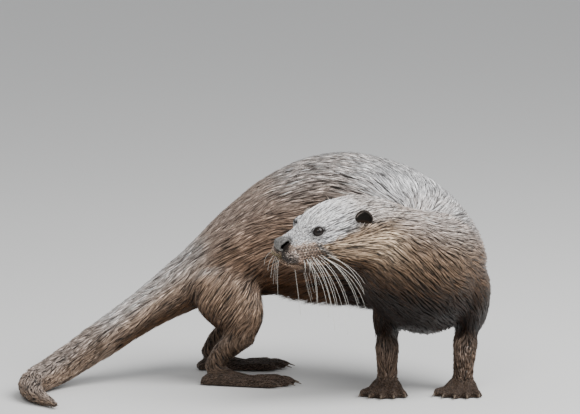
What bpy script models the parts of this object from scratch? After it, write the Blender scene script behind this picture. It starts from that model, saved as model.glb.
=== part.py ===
"""A life-size Eurasian otter standing with its back arched, its front turned round to its right side
and its head looking back along the flank.

Metres, +Z up, floor at z = 0. +X runs from the rump to the shoulders, and the animal's near side faces -Y.
The spine is one smooth line from the tail tip to the muzzle. The body is lofted along it and parted by
flat cuts, each leg is lofted from joint to joint, and each webbed paw is a grid of toes and web.
"""

import math

import bmesh
import bpy
import numpy as np
from mathutils import Matrix, Vector

# ---------------------------------------------------------------- driving dimensions, metres and degrees

UP = Vector((0, 0, 1))
GAP = 0.0004  # air between two pieces that meet on a flat or a ball
CURVED_GAP = 0.0008  # air where a piece follows another's curved side
BODY_SIDES = 24
TAIL_SIDES = 14

MUZZLE_FRONT = Vector((-0.0113, -0.149, 0.1668))
HEAD_YAW = 28.0  # nose turned this far out of the -X direction, towards -Y
HEAD_PITCH = 15.0  # nose below the level of the ears
HEAD_ROLL = 8.0  # crown leaning over to the animal's left

EYE_RADIUS = 0.0066
EYE_BACK = 0.0400  # behind the muzzle's front
EYE_SIDE = 0.0205  # from the middle plane of the head
EYE_UP = 0.0158  # above the head's axis

NOSE_WIDTH = 0.0205
NOSE_HEIGHT = 0.0150

EAR_BACK = 0.0845
EAR_SIDE = 0.0425
EAR_UP = 0.0200
EAR_WIDTH = 0.0215
EAR_HEIGHT = 0.0170

TOES = 5
TOE_HIGH = 0.0085
TOE_REACH = (0.84, 0.95, 1.00, 0.97, 0.87)  # from the heel, as a share of the paw's length
WEB_THICK = 0.0022
WEB_SCALLOP = 0.0075  # how far the web's edge falls back between two toes
PAW_FAN_BACK = 0.045  # the toes spread from this far behind the heel
PAW_ROWS = (0.0, 0.12, 0.30, 0.52, 0.74, 0.93, 1.0)
PALM_PROFILE = ((0.0, 0.12, 0.28, 0.6, 1.0), (0.42, 0.95, 1.0, 0.62, 0.5))
CLAW_LENGTH = 0.0085
CLAW_RADIUS = 0.0016

# The body's centre line and girth: place x, y, z, half width to the animal's left and right, height above
# the line, depth below it, squareness of the outline (2 is an ellipse) and lean of the back to the left.
TAIL_KEYS = [
    (-0.2480, -0.1590, 0.0048, 0.0030, 0.0030, 0.0030, 0.0040, 2.0, 0.0),
    (-0.2740, -0.1150, 0.0096, 0.0110, 0.0110, 0.0105, 0.0110, 2.0, 0.0),
    (-0.2790, -0.0640, 0.0132, 0.0155, 0.0155, 0.0138, 0.0145, 2.1, 0.0),
    (-0.2560, -0.0160, 0.0205, 0.0190, 0.0190, 0.0165, 0.0180, 2.1, 0.0),
    (-0.2050, 0.0190, 0.0500, 0.0225, 0.0225, 0.0195, 0.0205, 2.1, 0.0),
    (-0.1430, 0.0400, 0.0905, 0.0270, 0.0270, 0.0235, 0.0250, 2.1, 0.0),
]
TRUNK_KEYS = [
    (-0.0880, 0.0540, 0.1220, 0.0390, 0.0390, 0.0345, 0.0350, 2.1, 0.0),
    (-0.0440, 0.0610, 0.1430, 0.0560, 0.0560, 0.0535, 0.0520, 2.2, 0.0),
    (0.0020, 0.0650, 0.1580, 0.0670, 0.0660, 0.0745, 0.0680, 2.3, 0.0),
    (0.0520, 0.0620, 0.1640, 0.0720, 0.0690, 0.0870, 0.0760, 2.3, 0.0),
    (0.1010, 0.0460, 0.1580, 0.0730, 0.0640, 0.0850, 0.0740, 2.2, 4.0),
    (0.1370, 0.0120, 0.1440, 0.0650, 0.0560, 0.0760, 0.0730, 2.2, 8.0),
    (0.1490, -0.0270, 0.1330, 0.0630, 0.0510, 0.0700, 0.0720, 2.2, 10.0),
    (0.1380, -0.0640, 0.1400, 0.0580, 0.0480, 0.0620, 0.0660, 2.2, 10.0),
    (0.1120, -0.0890, 0.1550, 0.0500, 0.0460, 0.0570, 0.0570, 2.2, 9.0),
]
# The head's outline in its own frame: distance behind the muzzle's front, drop of the middle line, half
# width, height above and depth below the line, squareness.
HEAD_KEYS = [
    (0.0960, 0.0160, 0.0465, 0.0480, 0.0430, 2.2),
    (0.0770, 0.0090, 0.0430, 0.0440, 0.0400, 2.3),
    (0.0580, 0.0040, 0.0370, 0.0385, 0.0370, 2.4),
    (0.0430, 0.0020, 0.0310, 0.0285, 0.0340, 2.4),
    (0.0290, 0.0010, 0.0270, 0.0195, 0.0315, 2.4),
    (0.0170, 0.0000, 0.0240, 0.0145, 0.0262, 2.4),
    (0.0080, 0.0000, 0.0205, 0.0115, 0.0195, 2.4),
    (0.0025, 0.0000, 0.0155, 0.0085, 0.0140, 2.3),
    (0.0000, 0.0000, 0.0090, 0.0045, 0.0100, 2.2),
]

# Where the body is parted, as a count of keys from the tail tip, and how many rings each length has.
BODY_PIECES = [
    ("tail_tip", 0.0, 2.0, 9),
    ("tail_middle", 2.0, 4.0, 8),
    ("tail_base", 4.0, 6.0, 6),
    ("rump", 6.0, 8.0, 7),
    ("loin", 8.0, 9.4, 6),
    ("chest", 9.4, 11.0, 7),
    ("shoulders", 11.0, 12.6, 6),
    ("neck", 12.6, 14.6, 7),
    ("head", 14.6, 23.0, 22),
]
BODY_SLOTS = {"head": "fur_face", "neck": "fur_throat"}

COLOURS = {
    "fur_back": ((0.19, 0.14, 0.11), 0.55),
    "fur_face": ((0.36, 0.32, 0.29), 0.50),
    "fur_throat": ((0.27, 0.20, 0.14), 0.55),
    "fur_paw": ((0.13, 0.09, 0.07), 0.60),
    "bare_nose": ((0.05, 0.045, 0.045), 0.35),
    "eye_wet": ((0.010, 0.008, 0.007), 0.05),
    "claw_horn": ((0.16, 0.13, 0.10), 0.35),
}


# ---------------------------------------------------------------- scene helpers


def clear_scene():
    for old in list(bpy.data.objects):
        bpy.data.objects.remove(old)


def material(slot):
    """A Principled material for one kind of surface, made once."""
    found = bpy.data.materials.get(slot)
    if found:
        return found
    colour, roughness = COLOURS[slot]
    made = bpy.data.materials.new(slot)
    made.use_nodes = True
    shader = made.node_tree.nodes["Principled BSDF"]
    shader.inputs["Base Color"].default_value = (*colour, 1.0)
    shader.inputs["Roughness"].default_value = roughness
    shader.inputs["Metallic"].default_value = 0.0
    return made


def add_object(name, bm, slot=None):
    """Turns a bmesh into a named object. Without a slot it is a guide, which is left out of renders."""
    bmesh.ops.recalc_face_normals(bm, faces=bm.faces)
    mesh = bpy.data.meshes.new(name)
    bm.to_mesh(mesh)
    bm.free()
    made = bpy.data.objects.new(name, mesh)
    bpy.context.scene.collection.objects.link(made)
    if slot is None:
        made.hide_render = True
        made.display_type = "WIRE"
    else:
        mesh.materials.append(material(slot))
        mesh.shade_smooth()
    return made


def cut(obj, cutter):
    """Takes the cutter's space out of obj."""
    boolean = obj.modifiers.new("clear_of_" + cutter.name, "BOOLEAN")
    boolean.operation = "DIFFERENCE"
    boolean.object = cutter


def keep_inside(obj, region):
    boolean = obj.modifiers.new("inside_" + region.name, "BOOLEAN")
    boolean.operation = "INTERSECT"
    boolean.object = region


# ---------------------------------------------------------------- curves and lofts


def smoothstep(low, high, value):
    share = np.clip((value - low) / (high - low), 0.0, 1.0)
    return share * share * (3.0 - 2.0 * share)


def through_keys(stops, values, at):
    """A smooth curve through the values at the stops, read at each place in at."""
    steps = np.diff(stops)[:, None]
    slopes = np.diff(values, axis=0) / steps
    inner = (slopes[:-1] * steps[1:] + slopes[1:] * steps[:-1]) / (steps[1:] + steps[:-1])
    tangents = np.vstack([slopes[:1], inner, slopes[-1:]])
    at = np.clip(np.atleast_1d(at), stops[0], stops[-1])
    left = np.clip(np.searchsorted(stops, at, side="right") - 1, 0, len(stops) - 2)
    width = steps[left]
    u = ((at - stops[left])[:, None]) / width
    return (
        (2 * u**3 - 3 * u**2 + 1) * values[left]
        + (u**3 - 2 * u**2 + u) * width * tangents[left]
        + (3 * u**2 - 2 * u**3) * values[left + 1]
        + (u**3 - u**2) * width * tangents[left + 1]
    )


def lengths_along(places):
    return np.concatenate([[0.0], np.cumsum(np.linalg.norm(np.diff(places, axis=0), axis=1))])


def outline(sides, left, right, up, down, squareness):
    """A closed rounded outline across a body: sideways and upward offsets for each of its points."""
    turn = np.arange(sides) * (2.0 * math.pi / sides)
    power = 2.0 / squareness
    across = np.sign(np.cos(turn)) * np.abs(np.cos(turn)) ** power
    rise = np.sign(np.sin(turn)) * np.abs(np.sin(turn)) ** power
    return across * np.where(across > 0, left, right), rise * np.where(rise > 0, up, down)


def loft(name, rings, slot=None):
    """A closed solid through a row of rings that all have the same number of points."""
    bm = bmesh.new()
    rows = [[bm.verts.new(point) for point in ring] for ring in rings]
    for near, far in zip(rows, rows[1:]):
        for i, corner in enumerate(near):
            after = (i + 1) % len(near)
            bm.faces.new((corner, near[after], far[after], far[i]))
    bm.faces.new(rows[0])
    bm.faces.new(reversed(rows[-1]))
    return add_object(name, bm, slot)


# ---------------------------------------------------------------- the head's own frame


def head_axes():
    """Forward, left and up of the head."""
    yaw, pitch, roll = (math.radians(a) for a in (HEAD_YAW, HEAD_PITCH, HEAD_ROLL))
    level = math.cos(pitch)
    forward = Vector((-math.cos(yaw) * level, -math.sin(yaw) * level, -math.sin(pitch)))
    left = Vector((0, 0, 1)).cross(forward).normalized()
    up = forward.cross(left)
    return (
        forward,
        left * math.cos(roll) - up * math.sin(roll),
        up * math.cos(roll) + left * math.sin(roll),
    )


def head_place(back, left, up):
    """The point this far behind the muzzle's front, to the left and above the head's axis."""
    forward, leftward, upward = head_axes()
    return MUZZLE_FRONT - forward * back + leftward * left + upward * up


def head_matrix(back, left, up):
    """A frame there whose X is forward, Y left and Z up."""
    forward, leftward, upward = head_axes()
    turned = Matrix((forward, leftward, upward)).transposed().to_4x4()
    return Matrix.Translation(head_place(back, left, up)) @ turned


# ---------------------------------------------------------------- the body: tail, trunk, neck and head


def body_keys():
    head = [
        (*head_place(back, 0.0, -drop), width, width, up, down, square, HEAD_ROLL)
        for back, drop, width, up, down, square in HEAD_KEYS
    ]
    return np.array(TAIL_KEYS + TRUNK_KEYS + head)


def body_swellings():
    """Rounded forms that stand out of the loft: place, reach and height."""
    forms = [
        (Vector((-0.068, 0.008, 0.122)), 0.055, 0.0080),  # near haunch
        (Vector((-0.068, 0.116, 0.122)), 0.055, 0.0080),  # far haunch
        (Vector((0.210, -0.032, 0.122)), 0.044, 0.0040),  # left shoulder
        (Vector((0.092, -0.045, 0.100)), 0.036, 0.0030),  # right shoulder
    ]
    for side in (-1, 1):
        forms += [
            (head_place(0.0080, side * 0.0150, -0.0070), 0.0120, 0.0034),  # whisker pad
            (head_place(0.0440, side * 0.0200, 0.0240), 0.0120, 0.0034),  # brow over the eye
            (head_place(0.0700, side * 0.0400, -0.0140), 0.0240, 0.0030),  # cheek
            (head_place(0.0320, side * 0.0235, 0.0085), 0.0090, -0.0020),  # hollow before the eye
        ]
    return forms


def body_ring(place, direction, girth, swellings, outset=0.0, sides=BODY_SIDES):
    """The body's outline at one place on its centre line, with anything below the floor laid flat on it."""
    to_left, to_right, up, down, squareness, lean = girth
    left = Vector((0, 0, 1)).cross(direction).normalized()
    above = direction.cross(left)
    lean = math.radians(lean)
    left, above = (
        left * math.cos(lean) - above * math.sin(lean),
        above * math.cos(lean) + left * math.sin(lean),
    )
    sizes = (to_left + outset, to_right + outset, up + outset, down + outset)
    across, rise = outline(sides, *sizes, squareness)
    ring = []
    for a, r in zip(across, rise):
        point = place + left * a + above * r
        outward = (point - place).normalized()
        for centre, reach, height in swellings:
            point = point + outward * height * math.exp(-((point - centre).length / reach) ** 2)
        ring.append(Vector((point.x, point.y, max(point.z, -outset))))
    return ring


def body_rings(start, end, count, outset=0.0, sides=BODY_SIDES):
    keys = body_keys()
    stops = lengths_along(keys[:, :3])
    ends = np.interp([start, end], np.arange(len(stops)), stops)
    at = np.linspace(ends[0], ends[1], count)
    if end == len(keys) - 1:  # rings crowd together where the muzzle rounds off
        at = ends[0] + (ends[1] - ends[0]) * (1.0 - (1.0 - np.linspace(0, 1, count)) ** 1.6)
    step = 0.001
    found = through_keys(stops, keys, at)
    before = through_keys(stops, keys, np.maximum(at - step, stops[0]))[:, :3]
    after = through_keys(stops, keys, np.minimum(at + step, stops[-1]))[:, :3]
    swellings = body_swellings()
    return [
        body_ring(Vector(row[:3]), Vector(b - a).normalized(), row[3:], swellings, outset, sides)
        for row, a, b in zip(found, before, after)
    ]


def make_body():
    """The lengths of the body, parted by flat cuts, and two guides a little larger than what they follow."""
    keys = body_keys()
    stops = lengths_along(keys[:, :3])
    count_at = np.arange(len(stops))
    made = {}
    trunk_guide_rings = []
    head_guide_rings = []
    for name, start, end, rings in BODY_PIECES:
        from_end, to_end = np.interp([start, end], count_at, stops)
        from_end += GAP / 2 if start > 0 else 0.0
        to_end -= GAP / 2 if end < len(keys) - 1 else 0.0
        start, end = np.interp([from_end, to_end], stops, count_at)
        slot = "fur_back" if name not in BODY_SLOTS else BODY_SLOTS[name]
        sides = TAIL_SIDES if name in ("tail_tip", "tail_middle") else BODY_SIDES
        made[name] = loft(name, body_rings(start, end, rings, sides=sides), slot)
        if sides == BODY_SIDES and name != "head":
            trunk_guide_rings += body_rings(start, end, rings, CURVED_GAP)
        if name in ("neck", "head"):
            head_guide_rings += body_rings(start, end, rings, CURVED_GAP)
    return made, loft("trunk_clearance", trunk_guide_rings), loft("head_clearance", head_guide_rings)


# ---------------------------------------------------------------- the head's pieces


def ball(name, radius, slot=None, scale=(1, 1, 1), segments=16, rings=10):
    bm = bmesh.new()
    bmesh.ops.create_uvsphere(bm, u_segments=segments, v_segments=rings, radius=radius)
    bmesh.ops.scale(bm, vec=scale, verts=bm.verts)
    return add_object(name, bm, slot)


def make_eyes(head):
    for name, side in (("left", 1), ("right", -1)):
        place = head_matrix(EYE_BACK, side * EYE_SIDE, EYE_UP)
        eye = ball("eye_" + name, EYE_RADIUS, "eye_wet", segments=14, rings=9)
        pocket = ball("eye_pocket_" + name, EYE_RADIUS + GAP, segments=14, rings=9)
        eye.matrix_world = place
        pocket.matrix_world = place
        cut(head, pocket)


def nose_form(name, outset=0.0, slot=None):
    """The bare nose pad: broad above, narrowing to the groove of the upper lip."""
    bm = bmesh.new()
    bmesh.ops.create_uvsphere(bm, u_segments=16, v_segments=10, radius=1.0)
    for vertex in bm.verts:
        x, y, z = vertex.co
        narrowing = 1.0 - 0.38 * smoothstep(0.25, -1.0, z)
        groove = 0.10 * math.exp(-((y / 0.22) ** 2)) * smoothstep(0.3, -0.6, z)
        vertex.co = (
            (0.0070 + outset) * (math.copysign(abs(x) ** 0.8, x) - groove * (x > 0)),
            (NOSE_WIDTH / 2 + outset) * math.copysign(abs(y) ** 0.85, y) * narrowing,
            (NOSE_HEIGHT / 2 + outset) * z,
        )
    made = add_object(name, bm, slot)
    made.matrix_world = head_matrix(0.0040, 0.0, 0.0080)
    return made


def make_nose(head):
    nose = nose_form("nose", slot="bare_nose")
    cut(head, nose_form("nose_clearance", outset=GAP))
    for side in (-1, 1):
        nostril = ball(f"nostril_{side + 1}", 1.0, scale=(0.0052, 0.0026, 0.0030), segments=10, rings=7)
        tilt = Matrix.Rotation(math.radians(side * 60), 4, "Z")
        nostril.matrix_world = head_matrix(0.0012, side * 0.0088, 0.0096) @ tilt
        cut(nose, nostril)


def jaw_form(name, drop=0.0, slot=None):
    """The space below the mouth line, from the lower lip back to the corner of the mouth and the throat."""
    profile = [
        (0.0100, -0.0095),
        (-0.0040, -0.0108),
        (-0.0100, -0.0140),
        (-0.0200, -0.0180),
        (-0.0310, -0.0212),
        (-0.0400, -0.0255),
        (-0.0460, -0.0330),
        (-0.0480, -0.0600),
        (0.0100, -0.0600),
    ]
    bm = bmesh.new()
    face = bm.faces.new([bm.verts.new((x, -0.06, z - drop)) for x, z in profile])
    swept = bmesh.ops.extrude_face_region(bm, geom=[face])["geom"]
    bmesh.ops.translate(bm, vec=(0, 0.12, 0), verts=[g for g in swept if isinstance(g, bmesh.types.BMVert)])
    made = add_object(name, bm, slot)
    made.matrix_world = head_matrix(0.0, 0.0, 0.0)
    return made


def make_jaw(head):
    """The lower jaw is the head's own loft below the mouth line, set back a little behind the upper lip."""
    jaw = loft("lower_jaw", body_rings(16.5, len(body_keys()) - 1, 14, -0.0012), "fur_face")
    keep_inside(jaw, jaw_form("jaw_space", drop=GAP))
    cut(head, jaw_form("jaw_clearance"))


def make_ear(name, side, back, out, up, turned, head_guide):
    """A small round ear: a thick cupped disc with its hollow facing forward and out."""
    bm = bmesh.new()
    bmesh.ops.create_uvsphere(bm, u_segments=14, v_segments=10, radius=1.0)
    for vertex in bm.verts:
        x, y, z = vertex.co
        hollow = 0.75 * max(0.0, 1.0 - (y * y + z * z) / 0.60) * smoothstep(0.0, 0.3, x)
        vertex.co = (
            0.0048 * (x - 1.5 * hollow) - 0.0035 * z * z,
            EAR_WIDTH / 2 * y,
            EAR_HEIGHT / 2 * z * (1.0 if z > 0 else 1.15),
        )
    made = add_object("ear_" + name, bm, "fur_face")
    facing = Matrix.Rotation(math.radians(side * turned), 4, "Z") @ Matrix.Rotation(math.radians(-12), 4, "Y")
    spread = Matrix.Rotation(math.radians(-side * 22), 4, "X")
    made.matrix_world = head_matrix(back, side * out, up) @ spread @ facing
    cut(made, head_guide)


# ---------------------------------------------------------------- legs


def limb(name, keys, heading, rings, sides, outset=0.0, slot=None):
    """A length of leg with rounded ends. Each key is place x, y, z, half width and half depth fore and aft."""
    keys = np.array(keys)
    stops = lengths_along(keys[:, :3])
    share = (1.0 - np.cos(np.linspace(0.02, 0.98, rings) * math.pi)) / 2
    at = share * stops[-1]
    found = through_keys(stops, keys, at)
    before = through_keys(stops, keys, at - 0.001)[:, :3]
    after = through_keys(stops, keys, at + 0.001)[:, :3]
    made = []
    for row, a, b, place in zip(found, before, after, at):
        along = Vector(b - a).normalized()
        fore = (heading - along * heading.dot(along)).normalized()
        side = fore.cross(along)
        near_end = min(place, stops[-1] - place) / (0.8 * row[4])
        swell = math.sqrt(1.0 - max(0.0, 1.0 - near_end) ** 2)
        wide = row[3] * swell + outset
        deep = row[4] * swell + outset
        across, depth = outline(sides, wide, wide, deep, deep, 2.1)
        made.append([Vector(row[:3]) + side * c + fore * d for c, d in zip(across, depth)])
    return loft(name, made, slot)


def paw_point(heel, heading, reach, turn, height):
    """A point of a paw's fan of toes. The fan spreads from a centre behind the heel."""
    angle = heading + turn
    origin_back = PAW_FAN_BACK * Vector((math.cos(heading), math.sin(heading)))
    place = Vector(heel) - origin_back + reach * Vector((math.cos(angle), math.sin(angle)))
    return Vector((place.x, place.y, height))


def paw(name, heel, heading, length, spread, high, outset=0.0, slot=None):
    """A broad flat-soled paw: a domed palm, five toes side by side and the web between them."""
    columns = TOES * 4 + 1
    top = []
    for row in PAW_ROWS:
        line = []
        for column in range(columns):
            toe = column / 4 - 0.5
            offset = toe - round(toe) if column % 4 else 0.5
            ridge = max(0.0, math.cos(math.pi * offset)) ** 0.8
            reach = float(np.interp(toe, range(TOES), TOE_REACH)) * length - WEB_SCALLOP * (1.0 - ridge)
            across = 2.0 * column / (columns - 1) - 1.0
            edge = 0.25 + 0.75 * math.sqrt(1.0 - across**2)
            palm = high * edge * float(np.interp(row, *PALM_PROFILE))
            digit = WEB_THICK + (TOE_HIGH - WEB_THICK) * ridge * (1.0 if row < 1.0 else 0.45)
            blend = smoothstep(0.42, 0.72, row)
            height = palm * (1.0 - blend) + digit * blend + outset
            out = PAW_FAN_BACK + reach * row + outset * (2.0 * row - 1.0)
            turn = across * (spread + outset / PAW_FAN_BACK)
            line.append(paw_point(heel, heading, out, turn, height))
        top.append(line)
    bm = bmesh.new()
    grid = [[bm.verts.new(point) for point in line] for line in top]
    for near, far in zip(grid, grid[1:]):
        for i in range(columns - 1):
            bm.faces.new((near[i], near[i + 1], far[i + 1], far[i]))
    rim = grid[0] + [line[-1] for line in grid[1:]] + grid[-1][-2::-1] + [line[0] for line in grid[-2:0:-1]]
    sole = [bm.verts.new((vertex.co.x, vertex.co.y, -outset)) for vertex in rim]
    for i, vertex in enumerate(rim):
        after = (i + 1) % len(rim)
        bm.faces.new((vertex, sole[i], sole[after], rim[after]))
    bm.faces.new(sole)
    return add_object(name, bm, slot)


def claw(name, heel, heading, length, spread, toe, guide):
    """A short blunt claw that leaves the toe's end and bends down."""
    turn = (2.0 * (toe + 0.5) / TOES - 1.0) * spread
    tip = PAW_FAN_BACK + TOE_REACH[toe] * length
    across = Vector((-math.sin(heading + turn), math.cos(heading + turn), 0.0))
    rings = []
    for share in (0.0, 0.45, 1.0):
        reach = tip - 0.0035 + (CLAW_LENGTH + 0.002) * share
        height = 0.0048 - 0.0028 * share**1.6
        centre = paw_point(heel, heading, reach, turn, height)
        radius = CLAW_RADIUS * (1.0 - 0.72 * share)
        turns = [math.radians(step * 72) for step in range(5)]
        rings.append([centre + across * radius * math.cos(r) + UP * radius * math.sin(r) for r in turns])
    made = loft(name, rings, "claw_horn")
    cut(made, guide)


def make_leg(name, upper, lower, foot, trunk_guide):
    """One leg: the upper length clear of the trunk, the lower clear of both, the paw and its claws."""
    upper_name, upper_keys = upper
    lower_name, lower_keys = lower
    foot_name, heel, heading, length, spread, high = foot
    heading = math.radians(heading)
    ahead = Vector((math.cos(heading), math.sin(heading), 0.0))
    top = limb(f"{upper_name}_{name}", upper_keys, ahead, 9, 14, slot="fur_back")
    top_guide = limb(f"{upper_name}_{name}_clearance", upper_keys, ahead, 9, 14, outset=CURVED_GAP)
    bottom = limb(f"{lower_name}_{name}", lower_keys, ahead, 6, 10, slot="fur_paw")
    paw(f"{foot_name}_{name}", heel, heading, length, spread, high, slot="fur_paw")
    paw_guide = paw(f"{foot_name}_{name}_clearance", heel, heading, length, spread, high, outset=CURVED_GAP)
    cut(top, trunk_guide)
    cut(bottom, trunk_guide)
    cut(bottom, top_guide)
    cut(bottom, paw_guide)
    for toe in range(TOES):
        claw(f"claw_{foot_name}_{name}_{toe + 1}", heel, heading, length, spread, toe, paw_guide)


def make_legs(trunk_guide):
    make_leg(
        "right",
        (
            "thigh",
            [
                (-0.070, 0.046, 0.138, 0.024, 0.034),
                (-0.074, 0.026, 0.112, 0.027, 0.042),
                (-0.058, 0.013, 0.082, 0.020, 0.033),
                (-0.036, 0.005, 0.056, 0.014, 0.019),
            ],
        ),
        (
            "shank",
            [
                (-0.040, 0.006, 0.064, 0.014, 0.018),
                (-0.062, 0.007, 0.046, 0.011, 0.014),
                (-0.082, 0.009, 0.026, 0.010, 0.012),
                (-0.086, 0.009, 0.010, 0.0105, 0.012),
            ],
        ),
        ("hindpaw", (-0.098, 0.010), -5.0, 0.104, 0.215, 0.018),
        trunk_guide,
    )
    make_leg(
        "left",
        (
            "thigh",
            [
                (-0.076, 0.078, 0.138, 0.024, 0.034),
                (-0.080, 0.098, 0.112, 0.027, 0.042),
                (-0.064, 0.111, 0.082, 0.020, 0.033),
                (-0.042, 0.119, 0.056, 0.014, 0.019),
            ],
        ),
        (
            "shank",
            [
                (-0.046, 0.118, 0.064, 0.014, 0.018),
                (-0.068, 0.117, 0.046, 0.011, 0.014),
                (-0.088, 0.115, 0.026, 0.010, 0.012),
                (-0.092, 0.115, 0.010, 0.0105, 0.012),
            ],
        ),
        ("hindpaw", (-0.104, 0.113), 9.0, 0.104, 0.215, 0.018),
        trunk_guide,
    )
    make_leg(
        "left",
        (
            "upper_arm",
            [
                (0.180, -0.040, 0.146, 0.026, 0.030),
                (0.193, -0.034, 0.116, 0.027, 0.035),
                (0.196, -0.020, 0.084, 0.021, 0.028),
                (0.193, -0.008, 0.060, 0.016, 0.020),
            ],
        ),
        (
            "forearm",
            [
                (0.193, -0.010, 0.068, 0.0165, 0.021),
                (0.191, -0.024, 0.046, 0.0140, 0.0175),
                (0.189, -0.038, 0.024, 0.0125, 0.0140),
                (0.188, -0.040, 0.010, 0.0130, 0.0140),
            ],
        ),
        ("forepaw", (0.190, -0.026), -100.0, 0.070, 0.290, 0.019),
        trunk_guide,
    )
    make_leg(
        "right",
        (
            "upper_arm",
            [
                (0.124, -0.040, 0.124, 0.022, 0.030),
                (0.114, -0.032, 0.100, 0.023, 0.032),
                (0.108, -0.020, 0.076, 0.019, 0.025),
                (0.106, -0.010, 0.056, 0.0155, 0.019),
            ],
        ),
        (
            "forearm",
            [
                (0.106, -0.012, 0.064, 0.0160, 0.0200),
                (0.106, -0.026, 0.044, 0.0138, 0.0170),
                (0.106, -0.040, 0.024, 0.0122, 0.0140),
                (0.106, -0.042, 0.010, 0.0130, 0.0140),
            ],
        ),
        ("forepaw", (0.107, -0.028), -97.0, 0.070, 0.290, 0.019),
        trunk_guide,
    )


def centre_on_floor():
    """Moves everything together so that the middle of the outline on the floor is the origin."""
    depsgraph = bpy.context.evaluated_depsgraph_get()
    low = Vector((math.inf,) * 3)
    high = Vector((-math.inf,) * 3)
    for obj in bpy.context.scene.objects:
        if obj.hide_render:
            continue
        solid = obj.evaluated_get(depsgraph)
        for vertex in solid.data.vertices:
            place = solid.matrix_world @ vertex.co
            low = Vector(map(min, low, place))
            high = Vector(map(max, high, place))
    middle = (low + high) / 2
    shift = Matrix.Translation((-middle.x, -middle.y, -low.z))
    for obj in bpy.context.scene.objects:
        obj.matrix_world = shift @ obj.matrix_world


def main():
    clear_scene()
    made, trunk_guide, head_guide = make_body()
    head = made["head"]
    make_eyes(head)
    make_nose(head)
    make_jaw(head)
    make_ear("left", 1, EAR_BACK, EAR_SIDE, EAR_UP, 52, head_guide)
    make_ear("right", -1, EAR_BACK + 0.004, EAR_SIDE - 0.003, EAR_UP - 0.004, 74, head_guide)  # laid back
    make_legs(trunk_guide)
    centre_on_floor()


main()
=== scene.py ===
import math

import bpy
import numpy as np
from mathutils import Matrix, Vector
from mathutils.bvhtree import BVHTree
from mathutils.kdtree import KDTree


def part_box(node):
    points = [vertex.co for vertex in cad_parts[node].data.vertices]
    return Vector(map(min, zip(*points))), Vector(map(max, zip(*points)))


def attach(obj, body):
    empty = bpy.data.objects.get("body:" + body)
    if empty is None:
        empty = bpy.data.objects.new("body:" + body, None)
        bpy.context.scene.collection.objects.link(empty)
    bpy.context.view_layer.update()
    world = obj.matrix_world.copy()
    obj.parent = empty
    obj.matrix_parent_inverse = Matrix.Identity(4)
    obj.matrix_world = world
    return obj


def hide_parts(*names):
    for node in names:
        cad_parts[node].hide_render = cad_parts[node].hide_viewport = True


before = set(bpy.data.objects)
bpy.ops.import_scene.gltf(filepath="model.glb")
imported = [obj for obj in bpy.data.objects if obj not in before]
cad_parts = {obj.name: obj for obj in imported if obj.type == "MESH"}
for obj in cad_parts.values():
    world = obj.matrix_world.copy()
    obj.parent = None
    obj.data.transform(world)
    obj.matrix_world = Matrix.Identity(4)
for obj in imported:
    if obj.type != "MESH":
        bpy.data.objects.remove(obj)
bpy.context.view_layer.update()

# ---------------------------------------------------------------- camera
# The animal is seen from low down on its right, a little above the water's level, through a long lens.
# The place aimed at is taken from the left eye, so that the head stays where it is in the frame.


def middle_of(node):
    """The middle of a node's box."""
    low, high = (Vector(corner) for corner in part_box(node))
    return (low + high) / 2


camera_data = bpy.data.cameras.new("long_lens")
camera_data.lens = 300.0
camera_data.sensor_width = 36.0
camera = bpy.data.objects.new("camera", camera_data)
bpy.context.collection.objects.link(camera)
looked_at = middle_of("eye_left") + Vector((-0.0304, 0.1223, 0.0118))
CAMERA_DISTANCE = 5.253
camera_height = math.radians(7.0)
camera.location = looked_at + CAMERA_DISTANCE * Vector((0.0, -math.cos(camera_height), math.sin(camera_height)))
camera.rotation_euler = (math.pi / 2 - camera_height, 0.0, 0.0)
camera_data.clip_end = 30.0
bpy.context.scene.camera = camera

# ---------------------------------------------------------------- skin
# The hide under the coat: one closed surface over the whole body, from the lips to the tail and the toes.
# It is the body's solids run together, smoothed, and sunk below them by the depth of the coat.

COAT_DEPTH = {
    "tail_tip": 0.0016,
    "tail_middle": 0.0020,
    "tail_base": 0.0028,
    "rump": 0.0027,
    "loin": 0.0026,
    "chest": 0.0026,
    "shoulders": 0.0028,
    "neck": 0.0030,
    "head": 0.0022,
    "nose": 0.0022,
    "eye": 0.0012,
    "lower_jaw": 0.0012,
    "thigh": 0.0030,
    "shank": 0.0021,
    "hindpaw": 0.0009,
    "upper_arm": 0.0030,
    "forearm": 0.0021,
    "forepaw": 0.0009,
}
FLESH = [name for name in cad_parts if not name.startswith(("claw", "ear"))]


def part_of(node):
    """The name of a limb's node without its side."""
    return node.replace("_left", "").replace("_right", "")


def select_only(*objects):
    """Selects these objects and makes the last one active."""
    if bpy.context.object and bpy.context.object.mode != "OBJECT":
        bpy.ops.object.mode_set(mode="OBJECT")
    bpy.ops.object.select_all(action="DESELECT")
    for each in objects:
        each.select_set(True)
    bpy.context.view_layer.objects.active = objects[-1]


def finish_with(piece, kind, **settings):
    """Adds a modifier to a piece and applies it."""
    select_only(piece)
    step = piece.modifiers.new(kind.lower(), kind)
    for name, value in settings.items():
        setattr(step, name, value)
    bpy.ops.object.modifier_apply(modifier=step.name)


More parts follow.
